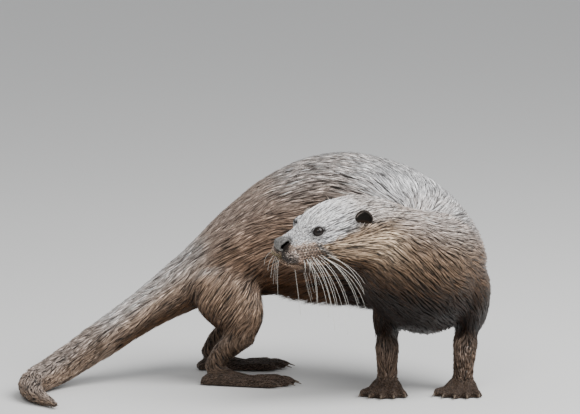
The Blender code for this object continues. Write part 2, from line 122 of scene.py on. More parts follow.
def copy_of_nodes(name, nodes):
    """One object holding copies of these CAD nodes' meshes, with each face's node as a number."""
    copies = []
    for number, node in enumerate(nodes):
        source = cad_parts[node]
        copied = bpy.data.objects.new(name, source.data.copy())
        bpy.context.collection.objects.link(copied)
        copied.matrix_world = source.matrix_world
        copied.data.materials.clear()
        mark = copied.data.attributes.new("node", "INT", "FACE")
        mark.data.foreach_set("value", [number] * len(copied.data.polygons))
        copies.append(copied)
    select_only(*copies)
    bpy.ops.object.join()
    joined = bpy.context.object
    joined.name = name
    bpy.ops.object.mode_set(mode="EDIT")
    bpy.ops.mesh.select_all(action="SELECT")
    bpy.ops.mesh.remove_doubles(threshold=0.00001)
    bpy.ops.mesh.normals_make_consistent(inside=False)
    bpy.ops.object.mode_set(mode="OBJECT")
    return joined


def points_of(mesh):
    flat = np.empty(len(mesh.vertices) * 3)
    mesh.vertices.foreach_get("co", flat)
    return flat.reshape(-1, 3)


def normals_of(mesh):
    flat = np.empty(len(mesh.vertices) * 3)
    mesh.vertex_normals.foreach_get("vector", flat)
    return flat.reshape(-1, 3)


def put_points(mesh, points):
    mesh.vertices.foreach_set("co", points.astype(np.float32).ravel())
    mesh.update()


def edges_of(mesh):
    flat = np.empty(len(mesh.edges) * 2, dtype=np.int64)
    mesh.edges.foreach_get("vertices", flat)
    return flat.reshape(-1, 2)


def spread(values, edges, rounds):
    """Averages a value at each vertex with its neighbours', so many times over."""
    values = np.array(values, dtype=float)
    columns = values.reshape(len(values), -1)
    ends = np.concatenate((edges[:, 0], edges[:, 1]))
    others = np.concatenate((edges[:, 1], edges[:, 0]))
    count = np.maximum(np.bincount(ends, minlength=len(values)), 1)
    for _ in range(rounds):
        for number in range(columns.shape[1]):
            around = np.bincount(ends, weights=columns[others, number], minlength=len(values))
            columns[:, number] = 0.5 * columns[:, number] + 0.5 * around / count
    return columns.reshape(values.shape)


solids = copy_of_nodes("solids_copy", FLESH)
node_of_face = np.empty(len(solids.data.polygons), dtype=np.int64)
solids.data.attributes["node"].data.foreach_get("value", node_of_face)
solid_surface = BVHTree.FromPolygons(
    [tuple(vertex.co) for vertex in solids.data.vertices],
    [tuple(face.vertices) for face in solids.data.polygons],
)

# toes: a round fleshy digit runs out over the web to the root of each claw
TOE_SIZE = {"hindpaw": (0.0190, 0.0041), "forepaw": (0.0130, 0.0039)}
toes = []
for name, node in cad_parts.items():
    if not name.startswith("claw"):
        continue
    paw = name[5:-2]
    horn = points_of(node.data)
    heel = np.array(middle_of(paw)) * (1, 1, 0)
    outward = horn[:, :2] @ (horn[:, :2].mean(axis=0) - heel[:2])
    claw_root = horn[outward < outward.min() + 0.15 * np.ptp(outward)].mean(axis=0)
    claw_tip = horn[np.argmax(outward)]
    toe_way = (claw_tip - claw_root) * (1, 1, 0)
    toe_way /= np.linalg.norm(toe_way)
    long, thick = TOE_SIZE[part_of(paw)]
    bpy.ops.object.select_all(action="DESELECT")
    bpy.ops.mesh.primitive_uv_sphere_add(segments=24, ring_count=16, radius=1.0)
    toe = bpy.context.object
    ball = points_of(toe.data)
    over, side, up = ball.T
    reach = long * np.sign(over) * np.abs(over) ** 0.75
    knuckle = 1.0 + 0.10 * np.cos(np.clip(over * 2.2 - 0.9, -1.0, 1.0) * math.pi)
    side_way = np.cross((0.0, 0.0, 1.0), toe_way)
    middle = claw_root * (1, 1, 0) + toe_way * (0.0022 - long)
    placed = middle + reach[:, None] * toe_way + (side * thick * knuckle)[:, None] * side_way
    placed[:, 2] = 0.0046 + thick * knuckle * up + 0.0030 * (1.0 - over) / 2.0
    put_points(toe.data, placed)
    toes.append(toe)
select_only(*toes, solids)
bpy.ops.object.join()

# the parts are swollen a little, run together into one closed surface, and smoothed where they meet
JOIN_SWELL = 0.0011
VOXEL = 0.0016
skin = solids
skin.name = "otter_skin"
bpy.ops.object.mode_set(mode="EDIT")
bpy.ops.mesh.select_all(action="SELECT")
bpy.ops.transform.shrink_fatten(value=JOIN_SWELL)
bpy.ops.object.mode_set(mode="OBJECT")
finish_with(skin, "REMESH", mode="VOXEL", voxel_size=VOXEL)

# the head's own ways, forward, left and up, from the tip of the muzzle
HEAD_TURN = math.radians(28.0)
HEAD_DIP = math.radians(15.0)
HEAD_ROLL = math.radians(8.0)
forward = Vector(
    (-math.cos(HEAD_TURN) * math.cos(HEAD_DIP), -math.sin(HEAD_TURN) * math.cos(HEAD_DIP), -math.sin(HEAD_DIP))
)
level_left = Vector((0.0, 0.0, 1.0)).cross(forward).normalized()
level_up = forward.cross(level_left)
leftward = level_left * math.cos(HEAD_ROLL) - level_up * math.sin(HEAD_ROLL)
upward = level_up * math.cos(HEAD_ROLL) + level_left * math.sin(HEAD_ROLL)
muzzle_tip = middle_of("eye_left") + forward * 0.0400 - leftward * 0.0205 - upward * 0.0158
head_ways = np.array((-forward, leftward, upward))


def in_head(points):
    """Each point as its distances behind the muzzle's tip, to the left, and up."""
    return (points - np.array(muzzle_tip)) @ head_ways.T


def from_head(places):
    """Places in the model's frame, from distances behind the muzzle's tip, to the left, and up."""
    return np.array(places) @ head_ways + np.array(muzzle_tip)


def eased(low, high, values):
    """Rises gently from 0 at the low value to 1 at the high one."""
    share = np.clip((values - low) / (high - low), 0.0, 1.0)
    return share * share * (3.0 - 2.0 * share)


# the hide is kept fine on the head and paws and made coarser under the long coat
points = points_of(skin.data)
placed = in_head(points)
head_or_paw = (placed[:, 0] < 0.105) & (placed[:, 0] > -0.03) & (np.abs(placed[:, 1]) < 0.06)
head_or_paw &= (placed[:, 2] > -0.055) & (placed[:, 2] < 0.06)
head_or_paw |= points[:, 2] < 0.019
coarse = skin.vertex_groups.new(name="long_coat")
coarse.add(np.nonzero(~head_or_paw)[0].tolist(), 1.0, "REPLACE")
finish_with(skin, "DECIMATE", ratio=0.32, vertex_group="long_coat", vertex_group_factor=10.0)
skin.vertex_groups.clear()

points = points_of(skin.data)
edges = edges_of(skin.data)
swollen = BVHTree.FromPolygons(
    [tuple(point) for point in points], [tuple(face.vertices) for face in skin.data.polygons]
)


def how_far_out(points):
    """How far each point stands outside the solids."""
    stands = np.empty(len(points))
    for number, point in enumerate(points):
        place, normal, face, gap = swollen.find_nearest(Vector(point))
        stands[number] = (gap if (Vector(point) - place).dot(normal) > 0.0 else -gap) + JOIN_SWELL
    return stands


def nearest_solid(points):
    """The number of the node that each point lies nearest to."""
    return node_of_face[[solid_surface.find_nearest(Vector(point))[2] for point in points]]


nearest = nearest_solid(points)
placed = in_head(points)
part_of_number = np.array([part_of(name) for name in FLESH])
parts = part_of_number[nearest]
on_head = np.isin(parts, ("head", "lower_jaw", "nose", "eye"))
on_paw = np.char.find(parts.astype(str), "paw") >= 0
rounds_wanted = np.where(on_paw, 3, np.where(on_head, 26, 44))
rounds_wanted[on_head & (placed[:, 0] < 0.050)] = 12
rounds_wanted[on_head & (placed[:, 0] < 0.024)] = 7
for done in range(rounds_wanted.max()):
    around = spread(points, edges, 1)
    points = np.where((rounds_wanted > done)[:, None], around, points)
put_points(skin.data, points)

depth = np.array([COAT_DEPTH[part_of(name)] for name in FLESH])
wanted = depth[nearest]
wanted[on_head] -= 0.0012 * (1.0 - eased(0.030, 0.070, placed[on_head, 0]))
wanted = spread(wanted, edges, 12)
for sinking in range(2):
    move = spread(-(how_far_out(points) + wanted), edges, 5)
    points = points + normals_of(skin.data) * move[:, None]
    points[:, 2] = np.maximum(points[:, 2], 0.0004)
    put_points(skin.data, points)


# the face is made finer still, then its features are pressed into it
def split_faces(piece, chosen):
    """Cuts the chosen faces of a piece in four."""
    select_only(piece)
    bpy.context.tool_settings.mesh_select_mode = (False, False, True)
    bpy.ops.object.mode_set(mode="EDIT")
    bpy.ops.mesh.select_all(action="DESELECT")
    bpy.ops.object.mode_set(mode="OBJECT")
    piece.data.polygons.foreach_set("select", chosen)
    bpy.ops.object.mode_set(mode="EDIT")
    bpy.ops.mesh.subdivide(number_cuts=1, smoothness=0.0)
    bpy.ops.object.mode_set(mode="OBJECT")


def face_middles(mesh):
    flat = np.empty(len(mesh.polygons) * 3)
    mesh.polygons.foreach_get("center", flat)
    return flat.reshape(-1, 3)


def front_of_head(placed, back, down):
    """Which places lie on the front of the head, so far back and so far down at most."""
    front = (placed[:, 0] < back) & (placed[:, 0] > -0.02)
    return front & (np.abs(placed[:, 1]) < 0.05) & (placed[:, 2] > -down)


def gaze(side):
    """The way the eye on this side looks."""
    turned_out = leftward if side == "left" else -leftward
    return (forward * 0.40 + turned_out * 0.83 + upward * 0.38).normalized()


EYE_RADIUS = 0.0066
eye_middles = {side: middle_of("eye_" + side) for side in ("left", "right")}
split_faces(skin, front_of_head(in_head(face_middles(skin.data)), 0.062, 0.032))
middles = face_middles(skin.data)
near_eye = np.min([np.linalg.norm(middles - np.array(middle), axis=1) for middle in eye_middles.values()], axis=0)
split_faces(skin, near_eye < 0.0115)
points = points_of(skin.data)
edges = edges_of(skin.data)
placed = in_head(points)
face = front_of_head(placed, 0.064, 0.034)
for done in range(4):
    points = np.where(face[:, None], spread(points, edges, 1), points)
put_points(skin.data, points)

# mouth: the upper lip overhangs a crease that runs back from under the nose
MOUTH_BEHIND = (-0.010, 0.004, 0.009, 0.013, 0.020, 0.031, 0.040)
MOUTH_HEIGHT = (-0.0072, -0.0080, -0.0106, -0.0133, -0.0166, -0.0207, -0.0242)


def along_mouth(behind):
    """The height of the mouth line so far behind the muzzle's tip."""
    return np.interp(behind, MOUTH_BEHIND, MOUTH_HEIGHT)


normals = normals_of(skin.data)
placed = in_head(points)
above_mouth = placed[:, 2] - along_mouth(placed[:, 0])
in_front = (1.0 - eased(0.036, 0.043, placed[:, 0])) * eased(-0.034, -0.030, placed[:, 2])
crease = 0.0022 * np.exp(-((above_mouth + 0.0004) / 0.0010) ** 2)
upper_lip = 0.0007 * np.exp(-((above_mouth - 0.0028) / 0.0016) ** 2)
lower_lip = 0.0006 * np.exp(-((above_mouth + 0.0030) / 0.0016) ** 2)
cleft = 0.0010 * np.exp(-(placed[:, 1] / 0.0008) ** 2) * eased(0.0, 0.001, above_mouth)
cleft *= 1.0 - eased(0.0, 0.004, placed[:, 2])
press = (upper_lip + lower_lip - crease) * in_front - cleft * (1.0 - eased(0.006, 0.010, placed[:, 0]))
points = points + normals * (press * (placed[:, 0] < 0.05))[:, None]

# the two pads that carry the whiskers bulge beside the nose, and the hide turns in under the nose's rim
for side in (1.0, -1.0):
    from_pad = np.linalg.norm(placed - (0.0032, side * 0.0165, -0.0040), axis=1)
    points += (0.0034 * np.exp(-((from_pad / 0.0065) ** 2)))[:, None] * (head_ways.T @ (-0.76, side * 0.65, 0.0))
NOSE_MIDDLE = (0.0060, 0.0, 0.0082)
NOSE_SIZE = (0.0084, 0.01025, 0.0076)
placed = in_head(points)
from_nose = np.linalg.norm((placed - NOSE_MIDDLE) / NOSE_SIZE, axis=1)
ditch = 1.0 - 0.45 * (1.0 - eased(1.05, 1.40, from_nose)) / np.maximum(from_nose, 0.6)
points = from_head(NOSE_MIDDLE + (placed - NOSE_MIDDLE) * ditch[:, None])

# eyes: the lids lie on the ball round an opening with a pointed inner corner, and run out into the cheek
beyond_lids = np.full(len(points), 1.0)
for side, middle in eye_middles.items():
    looking = gaze(side)
    along_lid = (forward - looking * forward.dot(looking)).normalized()
    over_lid = looking.cross(along_lid)
    over_lid = over_lid if over_lid.dot(upward) > 0 else -over_lid
    offset = points - np.array(middle)
    reach = np.linalg.norm(offset, axis=1)
    out, fore, high = (offset @ np.array(axis) for axis in (looking, along_lid, over_lid))
    flat = EYE_RADIUS * np.arctan2(np.sqrt(fore**2 + high**2), out)
    angle = np.arctan2(high, fore)
    half_width = np.where(fore > 0, 0.0064, 0.0058)
    half_height = np.where(high > 0, 0.0052, 0.0039)
    rounding = 1.9
    wide_part = (np.abs(np.cos(angle)) / half_width) ** rounding
    high_part = (np.abs(np.sin(angle)) / half_height) ** rounding
    opening = 1.0 / (wide_part + high_part) ** (1 / rounding)
    beyond = flat - opening
    lid_reach = EYE_RADIUS + 0.0007 - 0.0022 * (1.0 - eased(-0.0010, 0.0001, beyond))
    blend = eased(0.0010, 0.0045, beyond)
    new_reach = lid_reach * (1.0 - blend) + np.maximum(reach, EYE_RADIUS + 0.0007) * blend
    near = reach < 0.016
    moved = np.array(middle) + offset * (new_reach / np.maximum(reach, 1e-6))[:, None]
    points = np.where(near[:, None], moved, points)
    beyond_lids = np.where(near, np.minimum(beyond_lids, beyond), beyond_lids)
around_lids = (beyond_lids > 0.0011) & (beyond_lids < 0.0095)
for _ in range(26):
    points = np.where(around_lids[:, None], spread(points, edges, 1), points)
put_points(skin.data, points)

# ---------------------------------------------------------------- ears
# Small round ears set low on the sides of the head: thin folds of gristle and skin, cupped forward and out.
# They grow from the hide, so they are joined to it. The right one is laid back.

EAR_WIDTH = 0.0195
EAR_HEIGHT = 0.0170


def head_frame(back, left, up):
    """The head's own frame, moved so far behind the muzzle's tip, to the left, and up."""
    turned = Matrix((forward, leftward, upward)).transposed().to_4x4()
    return Matrix.Translation(muzzle_tip - forward * back + leftward * left + upward * up) @ turned


def ear_frame(side, back, out, up, turned):
    """Where an ear stands on the head, tilted out and back, and turned round by so many degrees."""
    facing = Matrix.Rotation(math.radians(side * turned), 4, "Z") @ Matrix.Rotation(math.radians(-12), 4, "Y")
    return head_frame(back, side * out, up) @ Matrix.Rotation(math.radians(-side * 22), 4, "X") @ facing


def placed_by(matrix, points):
    turned = np.array(matrix.to_3x3())
    return points @ turned.T + np.array(matrix.translation)


def keep_mark(mesh, name, values):
    """Keeps a number at each vertex under this name, for the coat or a material to read."""
    mesh.attributes.new(name, "FLOAT", "POINT").data.foreach_set("value", np.asarray(values, dtype=np.float32))


def mark_of(mesh, name):
    values = np.zeros(len(mesh.vertices))
    mesh.attributes[name].data.foreach_get("value", values)
    return values


def make_ear(name, frame_of_ear):
    """One cupped ear, thick at its rim, with marks for its bare inside and for the painted highlight on its rim."""
    select_only(skin)
    bpy.ops.object.select_all(action="DESELECT")
    bpy.ops.mesh.primitive_uv_sphere_add(segments=56, ring_count=36, radius=1.0)
    ear = bpy.context.object
    ear.name = name
    x, y, z = points_of(ear.data).T
    middle = y * y + z * z
    hollow = 0.95 * np.clip(1.0 - middle / 0.80, 0.0, 1.0) ** 0.7 * eased(0.0, 0.25, x)
    fold = 0.16 * np.exp(-(((z + 0.25) / 0.16) ** 2)) * np.exp(-(((y - 0.1) / 0.45) ** 2)) * (x > 0)
    lip = 0.05 * np.exp(-(((middle - 0.90) / 0.07) ** 2)) * (x > 0)
    shaped = np.stack(
        (
            0.0044 * (x - 1.5 * hollow + fold + lip) - np.where(z > 0, 0.0035, 0.0085) * z * z,
            (EAR_WIDTH / 2 - 0.0004) * y,
            (EAR_HEIGHT / 2 - 0.0004) * z * np.where(z > 0, 1.0, 1.15),
        ),
        axis=1,
    )
    put_points(ear.data, placed_by(frame_of_ear, shaped))
    front_way = -1.0 if name == "ear_left" else 1.0
    corner = (z + front_way * y) * 0.7071
    keep_mark(ear.data, "ear_inside", eased(0.93, 0.80, middle) * (x > 0.0))
    keep_mark(ear.data, "ear_arc", np.exp(-(((middle - 0.66) / 0.08) ** 2)) * eased(0.60, 0.80, corner) * (x > 0.0))
    keep_mark(ear.data, "ear_low", eased(-0.15, -0.65, z))
    return ear


EAR_FRAMES = {
    "left": ear_frame(1, 0.0848, 0.0425, 0.0217, 52),
    "right": ear_frame(-1, 0.0885, 0.0395, 0.0160, 74),
}
skin_points = len(skin.data.vertices)
ears = [make_ear("ear_" + side, place) for side, place in EAR_FRAMES.items()]
keep_mark(skin.data, "beyond_lids", beyond_lids)
select_only(*ears, skin)
bpy.ops.object.join()
finish_with(skin, "TRIANGULATE")
bpy.ops.object.shade_smooth()

# ---------------------------------------------------------------- lie of the coat
# The hair lies from the nose back along the body to the tail, down the legs, and forward over the paws.
# Each place of the hide gets the way its hair lies, and the coat's length, width and colour there.

points = points_of(skin.data)
normals = normals_of(skin.data)
edges = edges_of(skin.data)
is_ear = np.arange(len(points)) >= skin_points
nearest = nearest_solid(points)
parts = part_of_number[nearest].astype(object)
parts[is_ear] = "ear"
sides = np.array(["right" if name.endswith("_right") else "left" for name in FLESH])[nearest]
placed = in_head(points)
heart_of = {}
for number, node in enumerate(FLESH):
    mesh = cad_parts[node].data
    heart_of[node] = np.average(face_middles(mesh), axis=0, weights=[face.area for face in mesh.polygons])

# the spine, from the muzzle to the tail's tip, as one smooth path through the hearts of the parts
SPINE = ("head", "neck", "shoulders", "chest", "loin", "rump", "tail_base", "tail_middle", "tail_tip")
tail_end = np.array(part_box("tail_tip")[0]) * (0.9, 1.0, 0.0) + (0, 0, 0.004)
stops = np.array([from_head((0.002, 0.0, 0.0))] + [heart_of[node] for node in SPINE] + [tail_end])


def smooth_path(stops, steps):
    """A Catmull-Rom path through the stops, with this many steps between two."""
    ends = np.concatenate(([2 * stops[0] - stops[1]], stops, [2 * stops[-1] - stops[-2]]))
    made = []
    for a, b, c, d in zip(ends, ends[1:], ends[2:], ends[3:]):
        for step in range(steps):
            t = step / steps
            bend = (2 * a - 5 * b + 4 * c - d) * t**2 + (3 * b - a - 3 * c + d) * t**3
            made.append(0.5 * (2 * b + (c - a) * t + bend))
    return np.array(made + [stops[-1]])


STEPS = 14
spine = smooth_path(stops, STEPS)
spine_way = np.gradient(spine, axis=0)
spine_way /= np.linalg.norm(spine_way, axis=1)[:, None]
spine_length = np.concatenate(([0.0], np.cumsum(np.linalg.norm(np.diff(spine, axis=0), axis=1))))
lay = np.zeros_like(points)
along = np.zeros(len(points))
around = np.zeros(len(points))
SPINE_REACH = {"nose": (0, 1), "eye": (0, 2), "lower_jaw": (0, 2), "head": (0, 2), "ear": (0, 2)}
for number, node in enumerate(SPINE[1:], start=1):
    SPINE_REACH[node] = (number, number + 2)
SPINE_REACH["thigh"] = (5, 8)
SPINE_REACH["upper_arm"] = (2, 5)
for part, (first, last) in SPINE_REACH.items():
    of_part = np.nonzero(parts == part)[0]
    if not len(of_part):
        continue
    reach = np.arange(first * STEPS, min(last * STEPS + 1, len(spine)))
    gaps = np.linalg.norm(points[of_part][:, None, :] - spine[reach][None], axis=2)
    best = reach[np.argmin(gaps, axis=1)]
    lay[of_part] = spine_way[best]
    out = points[of_part] - spine[best]
    along[of_part] = spine_length[best] + np.sum(out * spine_way[best], axis=1)
    side_way = np.cross((0.0, 0.0, 1.0), spine_way[best])
    side_way /= np.linalg.norm(side_way, axis=1)[:, None]
    up_way = np.cross(spine_way[best], side_way)
    around[of_part] = np.arctan2(np.sum(out * side_way, axis=1), np.sum(out * up_way, axis=1))

down = np.array((0.0, 0.0, -1.0))
flank = np.clip(1.0 - np.abs(normals[:, 2]) * 0.9, 0.0, 1.0)
sinking = 0.08 + 0.92 * eased(0.200, 0.125, points[:, 2])
SINK = {"head": 0.16, "neck": 0.58, "shoulders": 0.50, "chest": 0.22, "loin": 0.18, "rump": 0.26, "tail_base": 0.10}
for part, share in SINK.items():
    of_part = parts == part
    lay[of_part] += share * (flank * sinking)[of_part, None] * down
for side in ("left", "right"):
    for upper, lower, paw in (("thigh", "shank", "hindpaw"), ("upper_arm", "forearm", "forepaw")):
        here = sides == side
        top, low, foot = (heart_of[f"{name}_{side}"] for name in (upper, lower, paw))
        toes = foot - np.array((middle_of(f"{lower}_{side}")[0], middle_of(f"{lower}_{side}")[1], foot[2]))
        toes = toes * (1, 1, 0) / np.linalg.norm(toes[:2])
        lengths = ((upper, low - top, 0.9, top), (lower, foot - low, 3.0, low), (paw, toes, 5.0, foot))
        for name, way, weight, origin in lengths:
            of_part = (parts == name) & here
            way = way / np.linalg.norm(way)
            lay[of_part] = lay[of_part] + weight * way
            if name != upper:
                along[of_part] = (points[of_part] - origin) @ way
                across = np.cross(way, (0.3, 0.9, 0.1))
                across /= np.linalg.norm(across)
                other = np.cross(way, across)
                out = points[of_part] - origin
                around[of_part] = np.arctan2(out @ across, out @ other)
for side, place in EAR_FRAMES.items():
    of_ear = is_ear & ((placed[:, 1] > 0) == (side == "left"))
    turned = np.array(place.to_3x3())
    out = (points[of_ear] - np.array(place.translation)) @ turned
    lay[of_ear] = (np.stack((-0.2 + 0 * out[:, 0], 40 * out[:, 1], 60 * (out[:, 2] + 0.007)), axis=1)) @ turned.T

# the face: hair parts round the eyes and the nose and runs down over the cheeks
on_face = np.isin(parts, ("head", "lower_jaw", "nose", "eye"))
back_way = -np.array(forward)
fall = eased(0.010, -0.020, placed[:, 2]) * eased(0.02, 0.06, placed[:, 0])
face_way = back_way + 0.45 * fall[:, None] * -np.array(upward)
parting = np.sign(placed[:, 1]) * 0.35 * (1 - eased(0.02, 0.05, placed[:, 0]))
face_way += parting[:, None] * np.array(leftward)
lay = np.where(on_face[:, None], face_way * 1.4, lay)

# over the arched loin it lies more level than the spine does
level = eased(0.150, 0.185, points[:, 2]) * eased(0.242, 0.222, points[:, 2]) * flank
level *= eased(-0.085, -0.045, points[:, 0]) * eased(0.120, 0.090, points[:, 0])
level *= np.isin(parts, ("chest", "loin", "rump"))
lay[:, 2] *= 1.0 - 0.65 * level

# on the back the hair fans out of the fold behind the neck, and all of it wavers a little
FOLD = np.array((0.178, -0.030, 0.197))
from_fold = points - FOLD
fold_gap = np.linalg.norm(from_fold, axis=1)
fanned = (1 - eased(0.035, 0.080, fold_gap)) * eased(0.004, 0.016, from_fold[:, 1])
fanned *= np.isin(parts, ("shoulders", "chest", "loin"))
lay += 2.4 * fanned[:, None] * from_fold / np.maximum(fold_gap, 0.004)[:, None]
lay /= np.maximum(np.linalg.norm(lay, axis=1), 1e-9)[:, None]
for _ in range(3):
    kept = lay.copy()
    lay = spread(lay, edges, 14)
    lay[is_ear] = kept[is_ear]
    lay -= normals * np.sum(lay * normals, axis=1)[:, None]
    lay /= np.maximum(np.linalg.norm(lay, axis=1), 1e-9)[:, None]

# a fringe of longer hair stands up over the lower rim of each ear
ear_gaps = [np.linalg.norm(points - np.array(place.translation), axis=1) for place in EAR_FRAMES.values()]
beside_ear = np.min(ear_gaps, axis=0)
fringe = np.exp(-(((beside_ear - 0.0095) / 0.0035) ** 2))
fringe *= eased(0.018, 0.010, placed[:, 2]) * eased(0.100, 0.092, placed[:, 0])
fringe[is_ear] = 0.0
lay += 1.5 * fringe[:, None] * np.array(upward)
lay /= np.maximum(np.linalg.norm(lay, axis=1), 1e-9)[:, None]
waver = spread(np.random.default_rng(3).normal(0.0, 1.0, points.shape), edges, 8)
waver *= 0.13 / waver.std()
lay = np.where((is_ear | on_face)[:, None], lay, lay + waver)
lay -= normals * np.sum(lay * normals, axis=1)[:, None]
lay /= np.maximum(np.linalg.norm(lay, axis=1), 1e-9)[:, None]

# each part's coat: hair length, lock width, spacing of the locks, how high the tips stand, how much painted sky
# reflection goes into its colour, and its colour.
COAT = {
    "nose": (0.0016, 0.0006, 0.00090, 0.0003, 0.0, (0.060, 0.050, 0.044)),
    "eye": (0.0020, 0.0006, 0.00080, 0.0004, 0.0, (0.300, 0.285, 0.275)),
    "head": (0.0085, 0.0012, 0.00120, 0.0015, 0.0, (0.320, 0.225, 0.150)),
    "lower_jaw": (0.0040, 0.0009, 0.00100, 0.0006, 0.0, (0.300, 0.200, 0.120)),
    "ear": (0.0026, 0.0006, 0.00075, 0.0006, 0.0, (0.060, 0.045, 0.036)),
    "neck": (0.0165, 0.0012, 0.00150, 0.0038, 0.50, (0.250, 0.167, 0.109)),
    "shoulders": (0.0190, 0.0012, 0.00156, 0.0036, 0.48, (0.250, 0.161, 0.105)),
    "chest": (0.0230, 0.0012, 0.00158, 0.0034, 1.0, (0.365, 0.258, 0.190)),
    "loin": (0.0230, 0.0012, 0.00158, 0.0034, 0.66, (0.350, 0.240, 0.175)),
    "rump": (0.0230, 0.0012, 0.00158, 0.0034, 0.25, (0.312, 0.205, 0.142)),
    "tail_base": (0.0200, 0.0012, 0.00156, 0.0030, 0.80, (0.400, 0.295, 0.225)),
    "tail_middle": (0.0150, 0.0012, 0.00145, 0.0022, 0.26, (0.250, 0.178, 0.130)),
    "tail_tip": (0.0100, 0.0013, 0.00125, 0.0015, 0.14, (0.185, 0.128, 0.090)),
    "thigh": (0.0200, 0.0012, 0.00158, 0.0030, 0.24, (0.330, 0.224, 0.155)),
    "shank": (0.0110, 0.0013, 0.00140, 0.0020, 0.10, (0.130, 0.086, 0.058)),
    "hindpaw": (0.0030, 0.0007, 0.00105, 0.0004, 0.0, (0.092, 0.062, 0.044)),
    "upper_arm": (0.0190, 0.0012, 0.00158, 0.0030, 0.16, (0.170, 0.112, 0.074)),
    "forearm": (0.0105, 0.0013, 0.00135, 0.0020, 0.08, (0.125, 0.082, 0.056)),
    "forepaw": (0.0028, 0.0007, 0.00105, 0.0004, 0.0, (0.092, 0.062, 0.044)),
}
hair = np.array([COAT[part][:5] for part in parts])
colour = np.array([COAT[part][5] for part in parts])

# the face's hair is shortest at the nose, the ears' lower rims carry a fringe, and the belly's hair hangs wet
towards_nape = eased(0.012, 0.072, placed[:, 0])
short = on_face & (parts != "nose")
over_cheek = eased(0.004, -0.012, placed[:, 2]) * eased(0.036, 0.070, placed[:, 0])
hair[short, 0] = (0.0017 + 0.0070 * towards_nape + 0.0055 * over_cheek)[short]
hair[short, 1] = (0.0006 + 0.0007 * towards_nape + 0.0002 * over_cheek)[short]
hair[short, 2] = (0.00078 + 0.00046 * towards_nape)[short]
hair[short, 3] = (0.0004 + 0.0012 * towards_nape + 0.0010 * over_cheek)[short]
hair[:, 0] += 0.0050 * fringe
hair[:, 3] += 0.0090 * fringe
hanging = eased(-0.30, -0.85, normals[:, 2]) * np.isin(parts, ("chest", "loin"))
hair[:, 0] += 0.0030 * hanging
hair[:, 3] += 0.0095 * hanging
own_hair, own_colour = hair[is_ear], colour[is_ear]
hair = spread(hair, edges, 7)
hair[is_ear] = own_hair
hair_length, lock_width, spacing, stand_height, sky_share = hair.T
colour = spread(colour, edges, 14)
colour[is_ear] = own_colour

# ---------------------------------------------------------------- markings
# The wet coat is painted paler where it looks up, as a painted reflection of the sky, and the crown and bridge are
# painted silver as the same painted reflection. The whisker beds are warm brown and the cheek golden. The throat and
# the creases round the mouth and the nose pad are painted dark as painted shade, and the lids and lips have dark
# rims. Hide and hair share them.


def towards(share, tint):
    """Turns the coat's colour towards a tint by this share at each place."""
    return colour + (np.array(tint) - colour) * np.clip(share, 0.0, 1.0)[:, None]


# painted reflection of the sky: paler where the coat faces up, and near white facing up beside the fold behind the
# neck
by_fold = 1 - eased(0.045, 0.110, fold_gap)
colour = towards(eased(0.05, 0.90, normals[:, 2]) * sky_share, (0.82, 0.76, 0.73))
colour = towards(eased(0.25, 0.75, normals[:, 2]) * sky_share * by_fold * (points[:, 1] > -0.035), (1.0, 0.99, 0.99))
behind, leftmost, high = placed.T
feather = spread(np.random.default_rng(13).normal(0.0, 1.0, len(points)), edges, 5)
feather *= 0.0016 / feather.std()
# painted reflection: the wet crown and bridge are painted silver for the sky they mirror, feathered at their edge
CROWN_BEHIND = (0.0, 0.012, 0.030, 0.040, 0.060, 0.080, 0.110)
CROWN_HEIGHT = (0.0105, 0.0085, 0.0075, 0.0035, 0.0075, 0.0125, 0.0100)
crown_edge = feather + np.interp(behind, CROWN_BEHIND, CROWN_HEIGHT)
crown_blur = 0.0026 + 0.0030 * eased(0.044, 0.060, behind)
crown_sky_reflection = eased(-1.0, 1.0, (high - crown_edge) / crown_blur) * on_face
crown_sky_reflection *= 1 - 0.45 * eased(0.060, 0.105, behind)
colour = towards(crown_sky_reflection * (0.88 + 0.10 * np.clip(feather / 0.0016, -1.5, 1.0)), (0.71, 0.71, 0.72))
beds = eased(0.0026, -0.0026, high - crown_edge) * on_face * (1 - eased(0.030, 0.042, behind))
colour = towards(0.9 * beds, (0.600, 0.440, 0.350))
BED_HAIR = (0.0019, 0.0006, 0.00068)
hair_length, lock_width, spacing = (
    full * (1.0 - beds) + small * beds for full, small in zip((hair_length, lock_width, spacing), BED_HAIR)
)
wedge_line = 0.0045 - 1.15 * (behind - 0.033)
wedge = np.exp(-(((high - wedge_line) / 0.0034) ** 2)) * eased(0.031, 0.036, behind)
wedge *= (1 - eased(0.046, 0.054, behind)) * on_face
colour = towards(0.85 * wedge, (0.46, 0.44, 0.42))
golden = eased(0.006, -0.006, high) * eased(0.044, 0.058, behind) * (1 - eased(0.105, 0.135, behind))
golden *= eased(-0.045, -0.020, high) * np.isin(parts, ("head", "neck", "lower_jaw"))
colour = towards(0.75 * golden, (0.600, 0.460, 0.330))
# painted shade: the throat is painted dark where it faces down
throat = eased(0.0, -0.8, normals[:, 2]) * np.isin(parts, ("neck", "lower_jaw", "head")) * eased(-0.012, -0.022, high)
colour = towards(0.85 * throat, (0.110, 0.062, 0.026))

